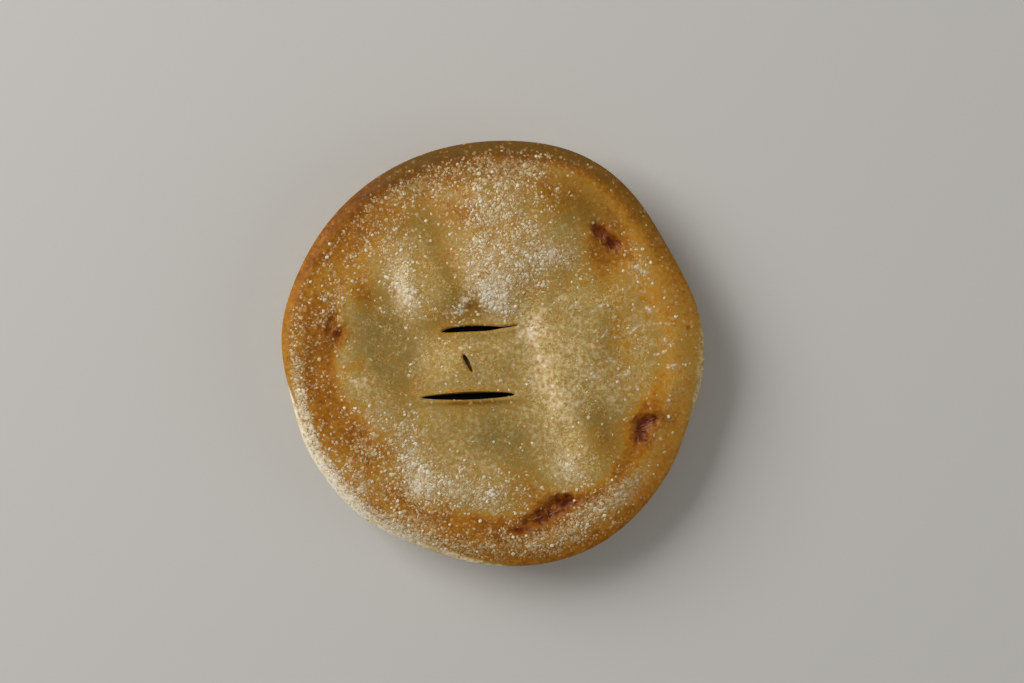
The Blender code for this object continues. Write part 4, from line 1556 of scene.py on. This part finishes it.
# %% Clumps of melted sugar
CLUMP_COLORS = (linear(198, 164, 108), linear(234, 212, 174))
GAP_COLOR = linear(158, 108, 42)
LARGE_CLUMPS = 500.0
SMALL_CLUMPS = 860.0
HEAPS = 330.0
# how much of the sugar and the film the clumps take as their cover
SUGAR_IN_SMALL = 0.8
SUGAR_IN_LARGE = 0.6
FILM_IN_LARGE = 0.3
HEAPS_FROM = (0.35, 0.8)
GAPS_CLOSED = 1.6
GAP_SHARE = 0.5
SMALL_SHARE = 0.4
LARGE_SHARE = 0.75
HEAP_SHARE = 0.6


def clump_layer(tree, masks, color):
    """Small and large clumps with browned gaps between, and white heaps where sugar is thickest."""
    film = masks["film"]
    sugared = times(tree, masks["sugar"], SUGAR_IN_SMALL)
    clumped = plus(tree, times(tree, masks["sugar"], SUGAR_IN_LARGE), times(tree, film, FILM_IN_LARGE))
    large, paleness = melted_clumps(tree, LARGE_CLUMPS, clumped)
    small, _ = melted_clumps(tree, SMALL_CLUMPS, sugared)
    heaps, _ = melted_clumps(tree, HEAPS, film)
    heaps = times(tree, heaps, rise(tree, film, *HEAPS_FROM))
    gaps = minus(tree, sugared, times(tree, small, GAPS_CLOSED), clamp=True)
    clump_color = mix_color(tree, paleness, *CLUMP_COLORS)
    for mask, share, layer_color in (
        (gaps, GAP_SHARE, GAP_COLOR),
        (small, SMALL_SHARE, clump_color),
        (large, LARGE_SHARE, clump_color),
        (heaps, HEAP_SHARE, THICK_FROST_COLOR),
    ):
        color = mix_color(tree, times(tree, mask, share), color, layer_color)
    return color, large, small, heaps


# %% Burnt syrup and the inside of the cuts
SYRUP_COLORS = (
    (0.0, linear(178, 124, 36)),
    (0.35, linear(152, 92, 20)),
    (0.65, linear(122, 62, 10)),
    (1.0, linear(88, 32, 2)),
)
SYRUP_SCALE = 230.0
SYRUP_SWAY = 0.6
SYRUP_ROUGHNESS = 0.6
SYRUP_STREAKS = 1.7
RAGGED = 0.5
RAGGED_EDGE = (0.2, 0.62)
# pale pastry of the flaps with a painted highlight on their wet ridges
FLAP_AND_HIGHLIGHT_COLOR = linear(206, 162, 116)
FLAP_HIGHLIGHT_SHARE = 0.22
CUT_COLOR = linear(144, 122, 72)
CUT_FROM = (0.0, 0.7)
# painted shade deep in the cuts, and the depths in mm where it starts and where it is full
DEEP_SHADE_COLOR = linear(14, 10, 4)
DEEP_SHADE_FROM = (2.4, 8.0)


def syrup_layer(tree, masks, mottle, color):
    """Boiled juice, darkest in the middle of a torn spot, with a ragged edge and pale flaps whose paleness
    is partly a painted highlight.
    """
    streaks = add_noise(tree, SYRUP_SCALE, 4.0, SYRUP_SWAY, SYRUP_ROUGHNESS)
    burnt = plus(tree, masks["tear"], up_and_down(tree, streaks, SYRUP_STREAKS), clamp=True)
    ragged = up_and_down(tree, mottle.outputs["Fine"], RAGGED)
    torn = rise(tree, plus(tree, masks["tear"], ragged), *RAGGED_EDGE)
    color = mix_color(tree, torn, color, ramp_color(tree, burnt, SYRUP_COLORS))
    return mix_color(tree, times(tree, masks["flap_highlight"], FLAP_HIGHLIGHT_SHARE), color, FLAP_AND_HIGHLIGHT_COLOR), torn


def cut_layer(tree, masks, color):
    """Damp pastry on the walls of the cuts, and painted shade, near black, deep in them."""
    color = mix_color(tree, rise(tree, masks["depth"], *CUT_FROM), color, CUT_COLOR)
    deep_shade = rise(tree, masks["depth"], *DEEP_SHADE_FROM)
    return mix_color(tree, deep_shade, color, DEEP_SHADE_COLOR), deep_shade


# %% The crust's material
CRUST_ROUGHNESS = 0.5
SYRUP_SMOOTHS = 0.12
DEEP_ROUGHENS = 0.5
SYRUP_GLOSS = 0.12
COAT_ROUGHNESS = 0.2
CRUST_SPECULAR = 0.12
BUMP_STRENGTH = 0.45
BUMP_DISTANCE = 0.0003
# how high each layer stands, against the fine mottling
RELIEF_SHARES = {"frost": 0.9, "dry": 0.7, "large": 0.9, "heaps": 1.5, "small": 0.4}


def crust_material():
    material = bpy.data.materials.new("baked_crust")
    material.use_nodes = True
    tree = material.node_tree
    shader = tree.nodes["Principled BSDF"]
    mottle = add_mottle(tree, *CRUST_MOTTLE)
    read = {}
    for name in masks:
        read[name] = add_node(tree, "ShaderNodeAttribute", attribute_name=name).outputs["Fac"]
    layers = {}
    color = baked_dough(tree, read, mottle)
    color, layers["dry"] = flour_layer(tree, read, mottle, color)
    color, layers["frost"] = frost_layer(tree, read, color)
    color, layers["large"], layers["small"], layers["heaps"] = clump_layer(tree, read, color)
    color, torn = syrup_layer(tree, read, mottle, color)
    color, deep_shade = cut_layer(tree, read, color)
    link(tree, color, shader.inputs["Base Color"])

    rough = minus(tree, CRUST_ROUGHNESS, times(tree, torn, SYRUP_SMOOTHS))
    rough = plus(tree, rough, times(tree, deep_shade, DEEP_ROUGHENS), clamp=True)
    link(tree, rough, shader.inputs["Roughness"])
    link(tree, times(tree, torn, SYRUP_GLOSS), shader.inputs["Coat Weight"])
    shader.inputs["Coat Roughness"].default_value = COAT_ROUGHNESS
    shader.inputs["Specular IOR Level"].default_value = CRUST_SPECULAR

    height = mottle.outputs["Fine"]
    for name, share in RELIEF_SHARES.items():
        height = plus(tree, height, times(tree, layers[name], share))
    bump = add_node(tree, "ShaderNodeBump", Strength=BUMP_STRENGTH, Distance=BUMP_DISTANCE)
    link(tree, height, bump.inputs["Height"])
    link(tree, bump.outputs["Normal"], shader.inputs["Normal"])
    return material


# %% Give the crust its finish
# faces that meet at a sharper angle than this, in degrees, keep a hard edge
SHARP_ANGLE = 50


def finish_piece(piece, material):
    """Gives a piece its one material and smooth shading."""
    piece.data.materials.clear()
    piece.data.materials.append(material)
    bpy.context.view_layer.objects.active = piece
    bpy.ops.object.select_all(action="DESELECT")
    piece.select_set(True)
    bpy.ops.object.shade_smooth_by_angle(angle=math.radians(SHARP_ANGLE))


finish_piece(crust, crust_material())
crust.data.name = "crust"
print("crust material has", len(crust.data.materials[0].node_tree.nodes), "nodes")

# %% [markdown]
# ## Sugar
#
# Coarse sugar is scattered before baking. In the oven it half melts, so each grain is
# low and soft, and thick sugar joins into winding clumps. The largest crystals stand
# at the places that the solid has them. The rest are too many to place one by one, so
# a geometry node tree scatters them over the crust by the sugar mask.

# %% Grains to scatter
# segments, rings, unevenness, flattening and how far it is sunk, as shares of its size
LUMP = (8, 4, 0.2, 0.34, 0.05)
GRAIN = (6, 4, 0.14, 0.34, 0.05)
CRUMB = (5, 3, 0.12, 0.5, 0.09)


def make_grain(name, seed, segments, rings, uneven, flatten, sunk):
    """An uneven, flattened grain 1 mm wide that is sunk into the crust."""
    bpy.ops.mesh.primitive_uv_sphere_add(segments=segments, ring_count=rings, radius=MM / 2)
    grain = bpy.context.object
    grain.name = name
    rng = random.Random(seed)
    for vertex in grain.data.vertices:
        vertex.co *= rng.uniform(1 - uneven, 1 + uneven)
        vertex.co.z = vertex.co.z * flatten - sunk * MM
    put_in_order(grain.data)
    return grain


# %% Points where sugar lies
CLUMP_SCALE = 230.0


def named_value(tree, name):
    """What a named attribute holds at each point."""
    node = add_node(tree, "GeometryNodeInputNamedAttribute", data_type="FLOAT")
    node.inputs["Name"].default_value = name
    return node.outputs["Attribute"]


def spread_points(tree, surface, seed, spacing, density):
    """Points on a surface, spaced out and thickest where the mask for this grain is."""
    spread = add_node(tree, "GeometryNodeDistributePointsOnFaces", distribute_method="POISSON")
    spread.inputs["Distance Min"].default_value = spacing * MM
    spread.inputs["Density Max"].default_value = density
    spread.inputs["Seed"].default_value = seed
    link(tree, surface, spread.inputs["Mesh"])
    link(tree, named_value(tree, "grains"), spread.inputs["Density Factor"])
    return spread.outputs["Points"], spread.outputs["Rotation"]


def keep_clumps(tree, points, clumping):
    """Deletes the points where noise is low, so that the rest lie in clumps."""
    place = tree.nodes.new("GeometryNodeInputPosition")
    clumps = add_node(tree, "ShaderNodeTexNoise", Scale=CLUMP_SCALE, Detail=3.0, Roughness=0.7)
    clumps.inputs["Distortion"].default_value = 0.4
    link(tree, place.outputs[0], clumps.inputs["Vector"])
    thin_out = add_node(tree, "FunctionNodeCompare", data_type="FLOAT", operation="LESS_THAN")
    link(tree, clumps.outputs["Fac"], thin_out.inputs["A"])
    thin_out.inputs["B"].default_value = clumping
    drop = add_node(tree, "GeometryNodeDeleteGeometry", domain="POINT")
    link(tree, points, drop.inputs["Geometry"])
    link(tree, thin_out.outputs[0], drop.inputs["Selection"])
    return drop.outputs["Geometry"]


# %% A grain on each point
SLIM = 0.72
TILT = 0.2
# how much of its tone a grain loses where the film is white
WHITE_CLEANS = 0.75


def random_vector(tree, low, high, seed):
    node = add_node(tree, "FunctionNodeRandomValue", data_type="FLOAT_VECTOR")
    node.inputs[0].default_value = low
    node.inputs[1].default_value = high
    node.inputs["Seed"].default_value = seed
    return node.outputs[0]


def stamp_grains(tree, points, rotation, grain, seed, sizes):
    """Puts a grain on each point, grown and tumbled at random."""
    source = tree.nodes.new("GeometryNodeObjectInfo")
    source.inputs["Object"].default_value = grain
    source.inputs["As Instance"].default_value = True
    smallest, largest = ((size, size * SLIM, size * SLIM) for size in sizes)
    stamp = tree.nodes.new("GeometryNodeInstanceOnPoints")
    link(tree, points, stamp.inputs["Points"])
    link(tree, source.outputs["Geometry"], stamp.inputs["Instance"])
    link(tree, rotation, stamp.inputs["Rotation"])
    link(tree, random_vector(tree, smallest, largest, seed + 2), stamp.inputs["Scale"])
    turn = tree.nodes.new("GeometryNodeRotateInstances")
    tumble = random_vector(tree, (-TILT, -TILT, 0), (TILT, TILT, math.tau), seed + 1)
    link(tree, stamp.outputs["Instances"], turn.inputs["Instances"])
    link(tree, tumble, turn.inputs["Rotation"])
    return turn.outputs["Instances"]


def store_tone(tree, instances, seed):
    """Keeps a random tone for each grain, which is cleaner where the film is white."""
    tone = tree.nodes.new("FunctionNodeRandomValue")
    tone.inputs["Seed"].default_value = seed + 3
    clean = opposite(tree, times(tree, named_value(tree, "film"), WHITE_CLEANS))
    store = add_node(tree, "GeometryNodeStoreNamedAttribute", domain="INSTANCE")
    store.inputs["Name"].default_value = "tone"
    link(tree, instances, store.inputs["Geometry"])
    link(tree, times(tree, tone.outputs[1], clean), store.inputs["Value"])
    return store.outputs["Geometry"]


# %% Scatter by the sugar mask
def scatter_tree(name, grain, seed, spacing, density, sizes, clumping):
    """A node tree that puts grains on a surface and keeps only the grains."""
    tree = bpy.data.node_groups.new(name, "GeometryNodeTree")
    tree.interface.new_socket("Geometry", in_out="INPUT", socket_type="NodeSocketGeometry")
    tree.interface.new_socket("Geometry", in_out="OUTPUT", socket_type="NodeSocketGeometry")
    surface = tree.nodes.new("NodeGroupInput").outputs[0]
    points, rotation = spread_points(tree, surface, seed, spacing, density)
    points = keep_clumps(tree, points, clumping)
    instances = stamp_grains(tree, points, rotation, grain, seed, sizes)
    real = tree.nodes.new("GeometryNodeRealizeInstances")
    link(tree, store_tone(tree, instances, seed), real.inputs["Geometry"])
    link(tree, real.outputs["Geometry"], tree.nodes.new("NodeGroupOutput").inputs[0])
    return tree


def scatter(name, grain, mask_values, seed, spacing, density, sizes, clumping, material):
    """A piece made of all the grains of one kind."""
    piece = bpy.data.objects.new(name, crust.data.copy())
    bpy.context.scene.collection.objects.link(piece)
    add_mask(piece.data, "grains", mask_values)
    modifier = piece.modifiers.new("scatter", "NODES")
    modifier.node_group = scatter_tree(name, grain, seed, spacing, density, sizes, clumping)
    apply_modifier(piece, modifier)
    bpy.data.objects.remove(grain)
    finish_piece(piece, material)
    piece.data.calc_loop_triangles()
    print(name, "has", len(piece.data.loop_triangles), "triangles")
    return piece


# %% Sugar material
SUGAR_COLORS = (
    (0.0, linear(240, 226, 200)),
    (0.3, linear(219, 197, 156)),
    (0.65, linear(197, 165, 112)),
    (1.0, linear(180, 138, 76)),
)
SUGAR_MOTTLE = (90.0, 1500.0)
SUGAR_CLOUDS = 1.0
# how much duller grains are on browned pastry, and between which bakes
SUGAR_TOASTS = 0.4
TOASTED_BETWEEN = (0.4, 0.75)
SUGAR_ROUGHNESS = 0.25
SUGAR_UNEVEN_GLOSS = 0.25
# sugar lets light in, so its shaded side stays soft
SUGAR_CLEAR = 0.5
SUGAR_CLEAR_REACH = (0.0010, 0.0008, 0.0006)


def sugar_material():
    material = bpy.data.materials.new("baked_sugar")
    material.use_nodes = True
    tree = material.node_tree
    shader = tree.nodes["Principled BSDF"]
    tone = add_node(tree, "ShaderNodeAttribute", attribute_name="tone").outputs["Fac"]
    mottle = add_mottle(tree, *SUGAR_MOTTLE)
    cloud = up_and_down(tree, mottle.outputs["Broad"], SUGAR_CLOUDS)
    bake_here = add_node(tree, "ShaderNodeAttribute", attribute_name="bake_and_painted_shade").outputs["Fac"]
    toasted = times(tree, rise(tree, bake_here, *TOASTED_BETWEEN), SUGAR_TOASTS)
    dull = plus(tree, plus(tree, tone, cloud), toasted, clamp=True)
    link(tree, ramp_color(tree, dull, SUGAR_COLORS), shader.inputs["Base Color"])
    rough = times(tree, mottle.outputs["Fine"], SUGAR_UNEVEN_GLOSS)
    rough = plus(tree, SUGAR_ROUGHNESS, rough)
    link(tree, rough, shader.inputs["Roughness"])
    shader.inputs["Subsurface Weight"].default_value = SUGAR_CLEAR
    shader.inputs["Subsurface Radius"].default_value = SUGAR_CLEAR_REACH
    shader.inputs["Subsurface Scale"].default_value = 1.0
    return material


SUGAR = sugar_material()

# %% The largest crystals, at the places of the solid's
CRYSTALS = 165
CRYSTAL_SPACING = 5.6
CRYSTAL_SIZE = (1.3, 1.9)
CRYSTAL_BEVEL = 0.28
CRYSTAL_STRETCH = (0.75, 1.1)
CRYSTAL_DULLEST = 0.5
CRYSTAL_MELT = 0.35
CRYSTAL_CLEAR_OF_CUT = 3.0
CRYSTAL_INSIDE_EDGE = 6.0
CRYSTAL_SEED = 11
LARGEST_CRYSTAL = (-95.7, -33.5, 2.6)


def crystal_places(rng):
    """Places for the largest crystals, spaced out and thickest where sugar is."""
    places = []
    while len(places) < CRYSTALS:
        bearing = rng.uniform(0, 360)
        radius = (float(rim_radius(np.array([bearing]))[0]) - CRYSTAL_INSIDE_EDGE) * math.sqrt(rng.random())
        x, y = from_polar(radius, bearing)
        if rng.random() > sugar_cover(np.array([x]), np.array([y]))[0]:
            continue
        if min(line_distance(cut[0], cut[1], x, y) for cut in CUTS.values()) < CRYSTAL_CLEAR_OF_CUT:
            continue
        if any(math.hypot(x - at_x, y - at_y) < CRYSTAL_SPACING for at_x, at_y in places):
            continue
        places.append((x, y))
    return places


def make_crystal():
    """A block with softened edges, as a crystal is after baking."""
    bpy.ops.mesh.primitive_cube_add(size=1)
    crystal = bpy.context.object
    bpy.ops.object.mode_set(mode="EDIT")
    bpy.ops.mesh.select_all(action="SELECT")
    bpy.ops.mesh.bevel(offset=CRYSTAL_BEVEL, segments=2, affect="EDGES")
    bpy.ops.object.mode_set(mode="OBJECT")
    crystal.name = "crystal"
    return crystal


def place_crystals(rng):
    """Copies the one crystal to its places, each copy with its own mesh and shape."""
    surface = BVHTree.FromPolygons(
        [vertex.co for vertex in crust.data.vertices],
        [polygon.vertices for polygon in crust.data.polygons],
    )
    model = make_crystal()
    crystals = [(x, y, rng.uniform(*CRYSTAL_SIZE)) for x, y in crystal_places(rng)]
    tones = random.Random(CRYSTAL_SEED + 1)
    copies = []
    for x, y, size in [*crystals, LARGEST_CRYSTAL]:
        hit, normal, _, _ = surface.ray_cast(Vector((x, y, CUT_TOP)) * MM, Vector((0, 0, -1)))
        stretch = Vector([rng.uniform(*CRYSTAL_STRETCH) for _ in range(3)]) * size
        tumble = Euler([rng.uniform(0, math.tau) for _ in range(3)]).to_matrix()
        crystal = bpy.data.objects.new("crystal_copy", model.data.copy())
        bpy.context.scene.collection.objects.link(crystal)
        for vertex in crystal.data.vertices:
            offset = tumble @ (vertex.co * stretch)
            vertex.co = hit + (offset - normal * offset.dot(normal) * CRYSTAL_MELT) * MM
        tone = CRYSTAL_DULLEST * tones.random()
        add_mask(crystal.data, "tone", np.full(len(crystal.data.vertices), tone))
        copies.append(crystal)
    bpy.data.objects.remove(model)
    return copies


def join(name, pieces, material):
    """One piece made of many."""
    bpy.ops.object.select_all(action="DESELECT")
    for piece in pieces:
        piece.select_set(True)
    bpy.context.view_layer.objects.active = pieces[0]
    bpy.ops.object.join()
    joined = bpy.context.object
    joined.name = name
    joined.data.name = name
    joined.data.materials.clear()
    joined.data.materials.append(material)
    print(name, "has", len(joined.data.polygons), "faces")
    return joined


coarse_sugar = join("coarse_sugar", place_crystals(random.Random(CRYSTAL_SEED)), SUGAR)

# %% Scatter the grains
# crumbs and lumps lie only where there is more sugar than this, and thicken this fast
CRUMBS_OVER = 0.25
CRUMBS_THICKEN = 1.3
LUMPS_OVER = 0.6
LUMPS_THICKEN = 1.6
# how much the white film counts as sugar for the lumps
FILM_IN_LUMPS = 0.8

thick = np.clip((sugar - CRUMBS_OVER) * CRUMBS_THICKEN, 0, 1)
thickest = np.clip((sugar + FILM_IN_LUMPS * film - LUMPS_OVER) * LUMPS_THICKEN, 0, 1)
lump = make_grain("lump", 5, *LUMP)
grain = make_grain("grain", 3, *GRAIN)
crumb = make_grain("crumb", 4, *CRUMB)
# for each kind: its grain, mask, seed, spacing in mm, most points on a square metre before
# they are spaced out, smallest and largest grain in mm, and how much the clumping takes away
sugar_lumps = scatter("sugar_lumps", lump, thickest, 45, 1.8, 4.2e5, (1.5, 4.1), 0.49, SUGAR)
sugar_grains = scatter("sugar_grains", grain, sugar, 21, 1.2, 9.0e5, (1.3, 2.4), 0.44, SUGAR)
sugar_crumbs = scatter("sugar_crumbs", crumb, thick, 33, 0.85, 1.2e6, (0.8, 1.3), 0.48, SUGAR)

# %% [markdown]
# ## The pie's body
#
# Each piece rides on the pie's one body, and the pie's solid is hidden.

# %% Ride on the body and hide the solid
SUGAR_PIECES = (coarse_sugar, sugar_lumps, sugar_grains, sugar_crumbs)
for piece in (crust, *SUGAR_PIECES):
    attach(piece, "root")
    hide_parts("pie")
